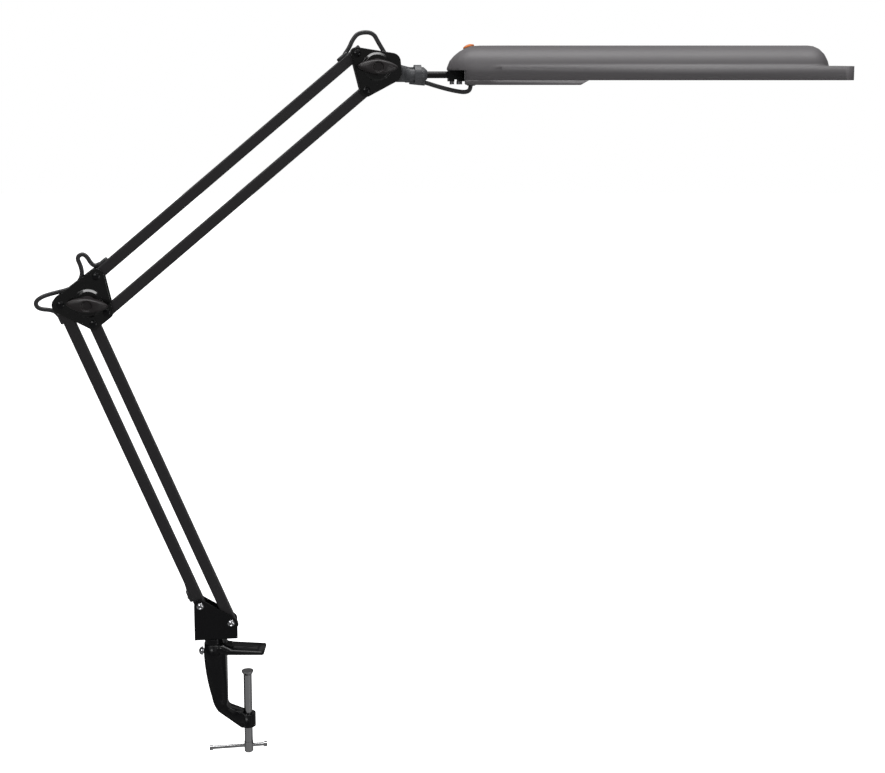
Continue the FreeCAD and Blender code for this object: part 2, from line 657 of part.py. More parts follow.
# ---- swivel post and base bracket ----------------------------------------------------------------
def swivel_post():
    """Post with its collar, riveted over the bracket's floor."""
    floor = BRACKET_LOW + BRACKET_STEEL
    profile = [(0, POST_LOW), (POST_R - POST_CHAMFER, POST_LOW), (POST_R, POST_LOW + POST_CHAMFER),
               (POST_R, SOCKET_TOP + RUN), (POST_COLLAR_R, SOCKET_TOP + RUN), (POST_COLLAR_R, BRACKET_LOW),
               (POST_RIVET_R, BRACKET_LOW), (POST_RIVET_R, floor), (POST_RIVET_HEAD_R, floor),
               (POST_RIVET_HEAD_R - POST_CHAMFER, floor + POST_RIVET_HEAD), (0, floor + POST_RIVET_HEAD)]
    return turned(profile, V(0, 0, 0), V(0, 0, 1))


def base_bracket():
    """Folded U of black steel that holds the lower bars' pivots."""
    left = BASE_LEFT.x - BRACKET_ROUND
    right = BASE_RIGHT.x + BRACKET_ROUND
    outline = hull_wire([(left, BRACKET_LOW, 0), (right, BRACKET_LOW, 0),
                         (BASE_RIGHT.x, BASE_RIGHT.z, BRACKET_ROUND),
                         (BASE_LEFT.x, BASE_LEFT.z, BRACKET_ROUND)])
    outer = INNER + BRACKET_STEEL
    block = slab(outline, -outer, outer)
    hollow = Part.makeBox(2 * (right - left), 2 * INNER, 2 * BASE_LEFT.z,
                          V(2 * left, -INNER, BRACKET_LOW + BRACKET_STEEL))
    holes = [cross_bore(BASE_LEFT, PIN_R), cross_bore(BASE_RIGHT, PIN_R),
             upright_bore(0, 0, POST_RIVET_R)]
    return block.cut([hollow] + holes)


def pivot_screw(pivot, plate):
    """Pan-head pivot screw with a cross recess, from the front through both plates."""
    face = INNER + plate
    head = domed_head(PAN_HEAD_R, PAN_HEAD, V(pivot.x, -face, pivot.z), FRONT)
    shank = pin(pivot, PIN_R, -face, face + NUT_HEIGHT + SCREW_PAST_NUT)
    recess = cross_recess(PAN_HEAD_R, RECESS_DEPTH, V(pivot.x, -face - PAN_HEAD, pivot.z), FRONT)
    return head.fuse(shank).cut(recess)


def pivot_nut(pivot, plate):
    """Nut on the rear end of a pivot screw."""
    face = INNER + plate
    nut = hexagon(NUT_FLATS, NUT_HEIGHT, V(pivot.x, face, pivot.z), REAR)
    return nut.cut(cross_bore(pivot, PIN_R))


def build_base():
    pivots = (BASE_LEFT, BASE_RIGHT)
    export("swivel_post", to_row(swivel_post()))
    export("base_bracket", to_row(base_bracket()))
    export("base_pivot_screws", *[to_row(pivot_screw(p, BRACKET_STEEL)) for p in pivots])
    export("base_pivot_nuts", *[to_row(pivot_nut(p, BRACKET_STEEL)) for p in pivots])


# ---- arm bars ------------------------------------------------------------------------------------
def rounded_bar(size, corner, start, length):
    """Square bar with rounded edges along u."""
    bar = Part.makeBox(length, size, size, V(start, -size / 2, -size / 2))
    edges = [e for e in bar.Edges if abs(e.tangentAt(e.FirstParameter).x) > 0.99]
    return bar.makeFillet(corner, edges)


def grommet_slots(ends):
    """Slots in the tube's top wall for the grommets' stems."""
    slots = []
    for at in ends:
        slots.append(Part.makeBox(GROMMET_STEM, GROMMET_STEM_WIDTH, TUBE,
                                  V(at - GROMMET_STEM / 2, -GROMMET_STEM_WIDTH / 2, 0)))
    return slots


def set_on(shape, pivot, angle):
    """Lay a shape drawn along u from the origin onto a bar's pivot and angle."""
    placed = shape.copy()
    placed.rotate(V(0, 0, 0), V(0, -1, 0), angle)
    placed.translate(pivot)
    return placed


def bar_tube(span, slot_positions):
    """Square tube with its bushing holes, drawn along u from its first pivot."""
    length = span + 2 * TUBE_TAIL
    outer = rounded_bar(TUBE, TUBE_CORNER, -TUBE_TAIL, length)
    bore = TUBE - 2 * TUBE_WALL
    inner = Part.makeBox(length, bore, bore, V(-TUBE_TAIL, -bore / 2, -bore / 2))
    holes = [cross_bore(V(0, 0, 0), BUSH_R), cross_bore(V(span, 0, 0), BUSH_R)]
    return outer.cut([inner] + holes + grommet_slots(slot_positions))


def bushings(span):
    """Four flanged bushings of one bar, two at each pivot."""
    face = TUBE / 2
    inside = face - TUBE_WALL - BUSH_REACH
    bore = PIN_R + RUN
    profile = [(bore, inside), (BUSH_R, inside), (BUSH_R, face), (FLANGE_R, face),
               (FLANGE_R, face + FLANGE), (bore, face + FLANGE)]
    rings = []
    for at in (0, span):
        for side in (FRONT, REAR):
            rings.append(turned(profile, V(at, 0, 0), side))
    return rings


def grommet(at):
    """Rubber grommet in the tube's top wall, drawn along u."""
    face = TUBE / 2
    half = GROMMET_LENGTH / 2
    end = GROMMET_WIDTH / 2
    ring = [V(at - half + end, -end, face), V(at + half - end, -end, face), V(at + half, 0, face),
            V(at + half - end, end, face), V(at - half + end, end, face), V(at - half, 0, face)]
    edges = [Part.makeLine(ring[0], ring[1]), Part.Arc(ring[1], ring[2], ring[3]).toShape(),
             Part.makeLine(ring[3], ring[4]), Part.Arc(ring[4], ring[5], ring[0]).toShape()]
    cap = Part.Face(Part.Wire(edges)).extrude(V(0, 0, GROMMET_PROUD))
    top_edges = [e for e in cap.Edges if e.CenterOfMass.z > face + GROMMET_PROUD - 0.01]
    cap = cap.makeFillet(GROMMET_PROUD * 0.45, top_edges)
    stem = Part.makeBox(GROMMET_STEM, GROMMET_STEM_WIDTH, TUBE_WALL,
                        V(at - GROMMET_STEM / 2, -GROMMET_STEM_WIDTH / 2, face - TUBE_WALL))
    return cap.fuse(stem)


def bar_points(pivot, angle, span, from_far_end, local):
    """Points of a cable route in the arm's frame, from points local to a bar's end."""
    placed = []
    for along, out in local:
        at = span - along if from_far_end else along
        placed.append(pivot + ray(angle, at) + ray(angle + 90, out))
    return placed


def halfway(first, second):
    """Middle of the gap between the two halves of a loop."""
    return (first[-1] + second[0]) * 0.5


def elbow_loop():
    """The two halves of the loop behind the elbow, from the upper tube to the lower one."""
    return flat_points(ELBOW_LOOP_UPPER, ELBOW_TOP), flat_points(ELBOW_LOOP_LOWER, ELBOW_LEFT)


def head_loop():
    """The two halves of the loop over the head joint."""
    return flat_points(HEAD_LOOP_UPPER, HEAD_TOP), flat_points(HEAD_LOOP_LOWER, ROD_ORIGIN)


def lamp_loop():
    """The two halves of the loop under the head's bracket; the second one follows the head's turn."""
    left = flat_points(LAMP_LOOP_LEFT, YAW_ORIGIN)
    aside = -HEAD_ENTRY * math.sin(math.radians(ARM_YAW))
    right = [YAW_ORIGIN + V(u, aside * index / len(LAMP_LOOP_RIGHT), w)
             for index, (u, w) in enumerate(LAMP_LOOP_RIGHT)]
    return left, right


def lower_route():
    """Cable from the lower bar's inlet to the middle of the elbow loop."""
    upper, lower = elbow_loop()
    near = [INLET_START, TUBE_EXIT[0]]
    route = bar_points(BASE_LEFT, LOWER_ANGLE, LOWER_SPAN, False, near)
    route += bar_points(BASE_LEFT, LOWER_ANGLE, LOWER_SPAN, True, TUBE_EXIT)
    return route + lower[::-1] + [halfway(upper, lower)]


def upper_route():
    """Cable from the middle of the elbow loop through the upper bar to the loop at its head end."""
    upper, lower = elbow_loop()
    over, after = head_loop()
    route = [halfway(upper, lower)] + upper[::-1]
    route += reversed(bar_points(ELBOW_TOP, UPPER_ANGLE, UPPER_SPAN, False, TUBE_EXIT))
    route += bar_points(ELBOW_TOP, UPPER_ANGLE, UPPER_SPAN, True, TUBE_EXIT)
    return route + over + [halfway(over, after)]


def swivel_route():
    """Cable from the loop over the head joint through the swivel piece."""
    over, after = head_loop()
    left, right = lamp_loop()
    duct = flat_points(SWIVEL_DUCT, ROD_ORIGIN)
    return [halfway(over, after)] + after + duct + left + [halfway(left, right)]


def head_route():
    """Cable from the loop under the bracket into the head's terminal block."""
    turn = math.radians(ARM_YAW)
    left, right = lamp_loop()
    entry = YAW_ORIGIN + V(HEAD_ENTRY * math.cos(turn), -HEAD_ENTRY * math.sin(turn), 0)
    return [halfway(left, right)] + right + [entry + V(0, 0, HEAD_TURN), entry + V(0, 0, TERMINAL_LOW)]


def build_bars():
    far = (GROMMET_AT, LOWER_SPAN - GROMMET_AT)
    upper_far = (GROMMET_AT, UPPER_SPAN - GROMMET_AT)
    bars = (("lower_bar_left", BASE_LEFT, LOWER_ANGLE, LOWER_SPAN, far, "bushings_lower_left"),
            ("lower_bar_right", BASE_RIGHT, LOWER_ANGLE, LOWER_SPAN, (), "bushings_lower_right"),
            ("upper_bar_top", ELBOW_TOP, UPPER_ANGLE, UPPER_SPAN, upper_far, "bushings_upper_top"),
            ("upper_bar_bottom", ELBOW_RIGHT, UPPER_ANGLE, UPPER_SPAN, (), "bushings_upper_bottom"))
    for name, pivot, angle, span, slots, bush_name in bars:
        export(name, to_row(set_on(bar_tube(span, slots), pivot, angle)))
        export(bush_name, *[to_row(set_on(ring, pivot, angle)) for ring in bushings(span)])


def build_cables():
    """Four stretches of the cable, and the grommets that it passes through."""
    stretches = (("cable_lower", lower_route()), ("cable_upper", upper_route()),
                 ("cable_swivel", swivel_route()), ("cable_head", head_route()))
    for name, route in stretches:
        export(name, to_row(cable_tube(route, CABLE_R, name)))
    carriers = (("cable_grommets_lower", BASE_LEFT, LOWER_ANGLE, LOWER_SPAN, lower_route()),
                ("cable_grommets_upper", ELBOW_TOP, UPPER_ANGLE, UPPER_SPAN, upper_route()))
    for name, pivot, angle, span, route in carriers:
        bore = cable_tube(route, CABLE_R + CABLE_PLAY)
        rubbers = [set_on(grommet(at), pivot, angle) for at in (GROMMET_AT, span - GROMMET_AT)]
        export(name, *[to_row(rubber.cut(bore)) for rubber in rubbers])


# ---- joint plates --------------------------------------------------------------------------------
def dish(centre):
    """Pressed dish of a front plate, with the bolt's hole."""
    face = INNER + PLATE
    hole = BOLT_R
    profile = [(hole, face + DISH_RISE), (DISH_TOP_R, face + DISH_RISE), (DISH_R, face),
               (DISH_R, INNER), (DISH_R - PLATE, INNER), (DISH_TOP_R - PLATE / 2, face + DISH_RISE - PLATE),
               (hole, face + DISH_RISE - PLATE)]
    return turned(profile, centre, FRONT)


def lip(first, second, radius_first, radius_second):
    """Narrow turned lip on the front plate along the edge beside two pivots."""
    along = second - first
    along.normalize()
    out = V(-along.z, 0, along.x)
    start = first + out * (radius_first - LIP_WIDTH)
    end = second + out * (radius_second - LIP_WIDTH)
    outer_end = second + out * radius_second
    outer_start = first + out * radius_first
    face = INNER + PLATE
    return slab(polygon([start, end, outer_end, outer_start]), -face - LIP_RISE, -face)


def joint_plates(circles, pivots, knob, lip_shape):
    """Front and rear plate of one joint."""
    outline = hull_wire(circles)
    holes = [cross_bore(p, PIN_R) for p in pivots]
    rear = slab(outline, INNER, INNER + PLATE).cut(holes + [cross_bore(knob, BOLT_R)])
    front = slab(outline, -INNER - PLATE, -INNER)
    front = front.cut([cross_bore(knob, DISH_R)] + holes)
    front = front.fuse([dish(knob), lip_shape]).removeSplitter()
    return front, rear


def rivet(pivot):
    """Rivet through both plates with a domed head at each end."""
    face = INNER + PLATE
    front_head = domed_head(RIVET_HEAD_R, RIVET_HEAD, V(pivot.x, -face, pivot.z), FRONT)
    rear_head = domed_head(RIVET_HEAD_R, RIVET_HEAD, V(pivot.x, face, pivot.z), REAR)
    return pin(pivot, PIN_R, -face, face).fuse([front_head, rear_head])


def knob_bolt(centre):
    """Round-headed bolt from the rear plate into the wing knob."""
    face = INNER + PLATE
    knob_face = face + DISH_RISE + INSERT_FLANGE + KNOB_HEIGHT
    head = domed_head(BOLT_HEAD_R, BOLT_HEAD, V(centre.x, face, centre.z), REAR)
    return head.fuse(pin(centre, BOLT_R, -(knob_face - BOLT_SHORT), face))


def spacer(centre, half):
    """Tube round the bolt between two plates."""
    return pin(centre, SPACER_R, -half, half).cut(cross_bore(centre, BOLT_R))


def knob_insert(centre):
    """Threaded brass insert in the knob, with the flange that bears on the dish."""
    foot = INNER + PLATE + DISH_RISE + SIDE_RUN
    bore = BOLT_R + RUN
    top = foot + INSERT_FLANGE + KNOB_HEIGHT - BOLT_SHORT + BORE_ROOM
    profile = [(bore, foot), (INSERT_FLANGE_R, foot), (INSERT_FLANGE_R, foot + INSERT_FLANGE),
               (INSERT_R, foot + INSERT_FLANGE), (INSERT_R, top), (bore, top)]
    return turned(profile, centre, FRONT)


def wing_knob(centre, turn):
    """Moulded knob: a tapered hub with two wings and a dimple in its face."""
    foot = INNER + PLATE + DISH_RISE + SIDE_RUN + INSERT_FLANGE
    top = foot + KNOB_HEIGHT
    hub = turned([(0, foot), (KNOB_HUB_R, foot), (KNOB_TOP_R, top), (0, top)], V(0, 0, 0), FRONT)
    wings = slab(hull_wire([(-WING_REACH, 0, WING_TIP_R), (0, 0, KNOB_TOP_R), (WING_REACH, 0, WING_TIP_R),
                            (0, 0, KNOB_TOP_R)]), -(top - WING_DROP), -(foot + WING_FOOT))
    knob = hub.fuse(wings)
    dimple = pin(V(0, 0, 0), KNOB_DIMPLE_R, -top, -(top - KNOB_DIMPLE))
    socket = pin(V(0, 0, 0), INSERT_R, -(top - BOLT_SHORT + BORE_ROOM), -foot)
    knob = knob.cut([dimple, socket])
    knob.rotate(V(0, 0, 0), V(0, -1, 0), turn)
    knob.translate(centre)
    return knob


def build_elbow():
    pivots = (ELBOW_LEFT, ELBOW_LOW, ELBOW_RIGHT, ELBOW_TOP)
    circles = [(p.x, p.z, r) for p, r in zip(pivots, ELBOW_ROUNDS)]
    edge = lip(ELBOW_TOP, ELBOW_RIGHT, ELBOW_ROUNDS[3], ELBOW_ROUNDS[2])
    front, rear = joint_plates(circles, pivots, ELBOW_KNOB, edge)
    export("elbow_plate_front", to_row(front))
    export("elbow_plate_rear", to_row(rear))
    export("elbow_rivets", *[to_row(rivet(p)) for p in pivots])
    export("elbow_spacer", to_row(spacer(ELBOW_KNOB, INNER)))
    export("elbow_bolt", to_row(knob_bolt(ELBOW_KNOB)))
    export("elbow_knob_insert", to_row(knob_insert(ELBOW_KNOB)))
    export("elbow_knob", to_row(wing_knob(ELBOW_KNOB, ELBOW_KNOB_TURN)))


def build_head_joint():
    pivots = (HEAD_TOP, HEAD_LOW)
    circles = [(p.x, p.z, HEAD_ROUND) for p in pivots]
    circles += [(HEAD_KNOB.x + u, HEAD_KNOB.z + w, radius) for u, w, radius in HEAD_NOSE]
    edge = lip(HEAD_LOW, HEAD_TOP, HEAD_ROUND, HEAD_ROUND)
    front, rear = joint_plates(circles, pivots, HEAD_KNOB, edge)
    export("head_plate_front", to_row(front))
    export("head_plate_rear", to_row(rear))
    export("head_plate_rivets", *[to_row(rivet(p)) for p in pivots])
    export("head_bolt", to_row(knob_bolt(HEAD_KNOB)))
    export("head_knob_insert", to_row(knob_insert(HEAD_KNOB)))
    export("head_knob", to_row(wing_knob(HEAD_KNOB, HEAD_KNOB_TURN)))
    half = TONGUE / 2
    discs = [pin(HEAD_KNOB, DISC_R, -INNER, -half - SIDE_RUN),
             pin(HEAD_KNOB, DISC_R, half + SIDE_RUN, INNER)]
    export("tilt_friction_discs", *[to_row(d.cut(cross_bore(HEAD_KNOB, BOLT_R))) for d in discs])


# ---- swivel piece, rod and bracket ----------------------------------------------------------------
def along_rod(radius, start, end):
    """Cylinder on the rod's axis."""
    return Part.makeCylinder(radius, end - start, V(start, 0, 0), V(1, 0, 0))


def swivel_arm():
    """Moulded swivel piece: tongue, barrel with its nose, and the cable's duct below."""
    half = TONGUE / 2
    knob_axis = V(0, 0, ROD_DROP)
    lap = SWIVEL_BARREL_START + TONGUE_LAP
    tongue = slab(hull_wire([(0, ROD_DROP, TONGUE_R), (SHOULDER_START, SHOULDER_LOW, 0),
                             (lap, SHOULDER_LOW, 0), (lap, SHOULDER_TOP, 0)]), -half, half)
    barrel = along_rod(SWIVEL_BARREL_R, SWIVEL_BARREL_START, SWIVEL_BARREL_END)
    nose = Part.makeCone(SWIVEL_BARREL_R, SWIVEL_NOSE_R, SWIVEL_NOSE_END - SWIVEL_BARREL_END,
                         V(SWIVEL_BARREL_END, 0, 0), V(1, 0, 0))
    body = tongue.fuse([barrel, nose, cable_duct()])
    cable = cable_tube([point - ROD_ORIGIN for point in swivel_route()], CABLE_R + CABLE_PLAY)
    bores = [cross_bore(knob_axis, BOLT_R + RUN), cable, grub_bore(),
             along_rod(ROD_R + RUN, ROD_START - BORE_ROOM, YAW_FROM_KNOB)]
    return body.cut(bores).removeSplitter()


def cable_duct():
    """Round duct under the barrel, along the cable's run to the mouth."""
    bend, mouth = flat_points(SWIVEL_DUCT[2:])
    start = bend + V(-DUCT_LEAD, 0, DUCT_LIFT)
    run = mouth - start
    return Part.makeCylinder(DUCT_R, run.Length, start, run)


def grub_bore():
    """Threaded hole of the grub screw, from the rod's axis up through the ring."""
    return Part.makeCylinder(GRUB_R, 2 * RING_R, V(RING_START + RING_WIDTH / 2, 0, 0))


def swivel_ring():
    """Grip ring round the barrel, with flat sides."""
    side = 2 * math.pi / RING_FLATS
    corner = RING_R / math.cos(side / 2)
    angles = [side * (k + 0.5) for k in range(RING_FLATS)]
    points = [V(RING_START, corner * math.sin(angle), corner * math.cos(angle)) for angle in angles]
    prism = Part.Face(polygon(points)).extrude(V(RING_WIDTH, 0, 0))
    ring = prism.common(along_rod(RING_R * 1.03, RING_START, RING_START + RING_WIDTH))
    bore = along_rod(SWIVEL_BARREL_R, RING_START, RING_START + RING_WIDTH)
    return ring.cut([bore, cable_duct(), grub_bore()])


def twist_grub_screw():
    """Grub screw from the ring's top through the barrel to the rod's groove."""
    foot = ROD_R + RUN
    return Part.makeCylinder(GRUB_R, RING_R - GRUB_SINK - foot, V(RING_START + RING_WIDTH / 2, 0, foot))


def yaw_bore(radius):
    """Cutting pin on the yaw bolt's axis."""
    return upright_bore(YAW_FROM_KNOB, 0, radius)


def clamp_screw_bore():
    """Hole of the screw that holds the rod, from below up to the rod's axis."""
    depth = 2 * (CLAMP_SCREW_LENGTH - BLOCK_LOW)
    return Part.makeCylinder(CLAMP_SCREW_R, depth,
                             V(YAW_FROM_KNOB - CLAMP_SCREW_AT, 0, BLOCK_LOW + CLAMP_SCREW_LENGTH - depth))


def head_rod():
    """Round rod from the swivel piece into the bracket block."""
    rod = along_rod(ROD_R, ROD_START, YAW_FROM_KNOB + BLOCK_HALF - ROD_SHORT)
    return rod.cut([yaw_bore(YAW_PIN_R), clamp_screw_bore()])


def head_bracket():
    """Block that grips the rod and carries the head on its yaw bolt."""
    left = YAW_FROM_KNOB - BLOCK_LENGTH
    height = CEILING - SIDE_RUN - BLOCK_LOW
    box = Part.makeBox(BLOCK_LENGTH, 2 * BLOCK_HALF, height, V(left, -BLOCK_HALF, BLOCK_LOW))
    round_end = Part.makeCylinder(BLOCK_HALF, height, V(YAW_FROM_KNOB, 0, BLOCK_LOW))
    gap_start = YAW_FROM_KNOB - (CLAMP_SCREW_AT + FEET_GAP) / 2
    gap = Part.makeBox(FEET_GAP, 2 * BLOCK_HALF, FEET_GAP / 2, V(gap_start, -BLOCK_HALF, BLOCK_LOW))
    rod = along_rod(ROD_R, ROD_START, YAW_FROM_KNOB + BLOCK_HALF - ROD_SHORT)
    return box.fuse(round_end).cut([rod, gap, yaw_bore(YAW_PIN_R), clamp_screw_bore()]).removeSplitter()


def yaw_bolt():
    """Bolt from below through block, rod and the head's ceiling."""
    top = CEILING + HOOD_WALL + YAW_WASHER + NUT_HEIGHT + YAW_PAST_NUT
    head = Part.makeCylinder(YAW_HEAD_R, YAW_HEAD, V(YAW_FROM_KNOB, 0, BLOCK_LOW - YAW_HEAD))
    return head.fuse(Part.makeCylinder(YAW_PIN_R, top - BLOCK_LOW, V(YAW_FROM_KNOB, 0, BLOCK_LOW)))


def yaw_nut():
    """Washer and locking nut inside the head."""
    seat = CEILING + HOOD_WALL + SIDE_RUN
    washer = Part.makeCylinder(YAW_WASHER_R, YAW_WASHER, V(YAW_FROM_KNOB, 0, seat))
    nut = hexagon(NUT_FLATS, NUT_HEIGHT, V(YAW_FROM_KNOB, 0, seat + YAW_WASHER), V(0, 0, 1))
    return washer.fuse(nut).cut(yaw_bore(YAW_PIN_R))


def rod_clamp_screw():
    """Screw under the block that holds the rod."""
    at = YAW_FROM_KNOB - CLAMP_SCREW_AT
    head = Part.makeCylinder(CLAMP_HEAD_R, YAW_HEAD, V(at, 0, BLOCK_LOW - YAW_HEAD))
    return head.fuse(Part.makeCylinder(CLAMP_SCREW_R, CLAMP_SCREW_LENGTH, V(at, 0, BLOCK_LOW)))


def build_swivel():
    for name, make in (("swivel_arm", swivel_arm), ("swivel_ring", swivel_ring),
                       ("twist_grub_screw", twist_grub_screw), ("head_rod", head_rod),
                       ("head_bracket", head_bracket), ("yaw_bolt", yaw_bolt), ("yaw_nut", yaw_nut),
                       ("rod_clamp_screw", rod_clamp_screw)):
        export(name, rod_to_row(make()))


# ---- head ----------------------------------------------------------------------------------------
def nose_top(x):
    """Height of the hood's crest over the nose: a flattened quarter ellipse."""
    if x >= NOSE_END:
        return HOOD_TOP
    share = (NOSE_END - x) / (NOSE_END - HOOD_LEFT)
    return NOSE_LOW + (HOOD_TOP - NOSE_LOW) * (1 - share ** NOSE_BLUNT) ** (1 / NOSE_BLUNT)


def nose_half(x):
    """Half the hood's width: an elliptical plan over the nose."""
    if x >= SIDES_END:
        return HOOD_HALF
    share = (SIDES_END - x) / (SIDES_END - HOOD_LEFT)
    return NOSE_HALF + (HOOD_HALF - NOSE_HALF) * math.sqrt(max(0.0, 1 - share * share))


def tail_top(x):
    """Height of the hump's crest as it falls to the grip: a quarter ellipse."""
    share = max(0.0, (x - HUMP_END) / (HUMP_FOOT - HUMP_END))
    return GRIP_TOP + (HOOD_TOP - GRIP_TOP) * math.sqrt(max(0.0, 1 - share ** 2.2))


def hood_section(x, half, top, low, inset):
    """Closed section of the hood across its length: straight sides, curved shoulders, flat crest."""
    side = half - inset
    crest = min(CREST_HALF, side * 0.55)
    roof = top - inset
    spring = min(SIDE_TOP, HOOD_LOW + (roof - HOOD_LOW) * SHOULDER_SHARE)
    corner = math.cos(math.radians(45))
    middle_y = crest + (side - crest) * corner
    middle_z = spring + (roof - spring) * corner
    a = V(x, -side, low)
    b = V(x, side, low)
    c = V(x, side, spring)
    d = V(x, crest, roof)
    e = V(x, -crest, roof)
    f = V(x, -side, spring)
    edges = [Part.makeLine(a, b), Part.makeLine(b, c), Part.Arc(c, V(x, middle_y, middle_z), d).toShape(),
             Part.makeLine(d, e), Part.Arc(e, V(x, -middle_y, middle_z), f).toShape(), Part.makeLine(f, a)]
    return Part.Wire(edges)


def hump(inset, low):
    """Nose, long hump and falling end, lofted through sections."""
    left = HOOD_LEFT + inset
    nose = [left + share * (NOSE_END - left) for share in NOSE_STATIONS]
    nose += [NOSE_END + share * (SIDES_END - NOSE_END) for share in SIDE_STATIONS]
    sections = [hood_section(x, nose_half(x - inset), nose_top(x - inset), low, inset) for x in nose]
    front = Part.makeLoft(sections, True, True)
    middle = Part.makeLoft([sections[-1], hood_section(HUMP_END - inset, HOOD_HALF, HOOD_TOP, low, inset)],
                           True, True)
    fall = HUMP_FOOT - HUMP_END
    tail = [hood_section(HUMP_END + share * fall - inset, HOOD_HALF - HUMP_TUCK * share ** 2,
                         tail_top(HUMP_END + share * fall), low, inset) for share in HUMP_STATIONS]
    end = Part.makeLoft(tail, True, True)
    return front.fuse([middle, end])


def tray(inset, low, top):
    """Straight-sided lower part of the hood, from behind the nose to the grip's round end."""
    half = HOOD_HALF - inset
    end = HOOD_RIGHT - inset
    corner = GRIP_CORNER - inset
    start = SIDES_END
    slant = corner * math.cos(math.radians(45))
    a = V(start, -half, low)
    b = V(end - corner, -half, low)
    c = V(end, -half + corner, low)
    d = V(end, half - corner, low)
    e = V(end - corner, half, low)
    f = V(start, half, low)
    edges = [Part.makeLine(a, b),
             Part.Arc(b, V(end - corner + slant, -half + corner - slant, low), c).toShape(),
             Part.makeLine(c, d),
             Part.Arc(d, V(end - corner + slant, half - corner + slant, low), e).toShape(),
             Part.makeLine(e, f), Part.makeLine(f, a)]
    return Part.Face(Part.Wire(edges)).extrude(V(0, 0, top - low))


def button_frame(shape):
    """Place a shape drawn about the button's own axis, its origin on the hood's skin."""
    placed = shape.copy()
    placed.rotate(V(0, 0, 0), V(0, 1, 0), -BUTTON_TILT)
    placed.translate(V(BUTTON_X, 0, nose_top(BUTTON_X)))
    return placed


def nose_block(end, top):
    """Block that takes in all of the nose left of one station and below one height."""
    reach = 2 * HOOD_HALF
    left = 2 * HOOD_LEFT
    low = 2 * COVER_LOW
    return Part.makeBox(end - left, 2 * reach, top - low, V(left, -reach, low))


def hood():
    """Moulded hood: one shell, open below, with the bracket's notch and the button's well."""
    outer = hump(0.0, HOOD_LOW).fuse(tray(0.0, HOOD_LOW, GRIP_TOP))
    below = HOOD_LOW - 2 * HOOD_WALL
    inner = hump(HOOD_WALL, below).fuse(tray(HOOD_WALL, below, GRIP_TOP - HOOD_WALL))
    guard = nose_block(NOTCH + HOOD_WALL, CEILING + HOOD_WALL)
    shell = outer.cut([nose_block(NOTCH, CEILING), inner.cut(guard)])
    well_r = BUTTON_R + PLAY
    well = Part.makeCylinder(well_r + BUTTON_WELL_WALL, 2 * BUTTON_WELL, V(0, 0, -BUTTON_WELL))
    shell = shell.fuse(button_frame(well).common(outer))
    hole = Part.makeCylinder(well_r, 3 * BUTTON_WELL, V(0, 0, -BUTTON_WELL))
    places = cover_screw_places()
    bosses = [Part.makeCylinder(COVER_BOSS_R, COVER_BOSS, V(x, y, HOOD_LOW)) for x, y in places]
    pilots = [Part.makeCylinder(COVER_SCREW_R, COVER_PILOT, V(x, y, HOOD_LOW)) for x, y in places]
    pivot = Part.makeCylinder(YAW_PIN_R + RUN, 3 * HOOD_WALL, V(0, 0, CEILING - HOOD_WALL))
    return shell.fuse(bosses).cut([button_frame(hole), pivot] + pilots).removeSplitter()


def cover_screw_places():
    """The four screws of the lower cover, in x and y."""
    reach = HOOD_HALF - HOOD_WALL - COVER_BOSS_R + BOSS_TUCK
    return [(x, side * reach) for x in (COVER_SCREW_FIRST, COVER_END - COVER_SCREW_LAST)
            for side in (-1, 1)]


def cover_plan(inset, low, high, end):
    """Prism over the nose's plan, from the notch to the cover's end."""
    start = NOTCH + inset
    stations = [start + share * (SIDES_END - start) for share in COVER_STATIONS] + [end]
    right = [V(x, nose_half(x) - inset, low) for x in stations]
    left = [V(p.x, -p.y, low) for p in reversed(right)]
    return Part.Face(polygon(right + left)).extrude(V(0, 0, high - low))


def lower_cover():
    """Shallow tray that closes the ballast's bay, with a slanted end."""
    end = COVER_END + COVER_SLOPE
    reach = 2 * HOOD_HALF
    outer = cover_plan(0.0, COVER_LOW, HOOD_LOW, end)
    slope = polygon([V(COVER_END, -reach, COVER_LOW), V(end, -reach, HOOD_LOW),
                     V(end + COVER_SLOPE, -reach, HOOD_LOW), V(end + COVER_SLOPE, -reach, COVER_LOW)])
    outer = outer.cut(Part.Face(slope).extrude(V(0, 2 * reach, 0)))
    inner = cover_plan(COVER_WALL, COVER_LOW + COVER_WALL, HOOD_LOW + COVER_WALL, COVER_END - COVER_WALL)
    places = cover_screw_places()
    pillars = [Part.makeCylinder(COVER_BOSS_R, HOOD_LOW - COVER_LOW, V(x, y, COVER_LOW)) for x, y in places]
    shell = outer.cut(inner).fuse(pillars)
    holes = [upright_bore(x, y, COVER_SCREW_R) for x, y in places]
    sink_low = COVER_LOW - COVER_SCREW_HEAD
    sinks = [Part.makeCylinder(COVER_SCREW_HEAD_R, 2 * COVER_SCREW_HEAD, V(x, y, sink_low))
             for x, y in places]
    return shell.cut(holes + sinks + [upright_bore(HEAD_ENTRY, 0, GLAND_NECK)]).removeSplitter()


def cover_screws():
    """Four countersunk-looking pan screws up into the hood's bosses."""
    screws = []
    for x, y in cover_screw_places():
        head = Part.makeCylinder(COVER_SCREW_HEAD_R, COVER_SCREW_HEAD, V(x, y, COVER_LOW))
        shank = Part.makeCylinder(COVER_SCREW_R, COVER_SCREW_LENGTH, V(x, y, COVER_LOW + COVER_SCREW_HEAD))
        recess = cross_recess(COVER_SCREW_HEAD_R, COVER_RECESS, V(x, y, COVER_LOW), V(0, 0, -1))
        screws.append(head.fuse(shank).cut(recess))
    return screws


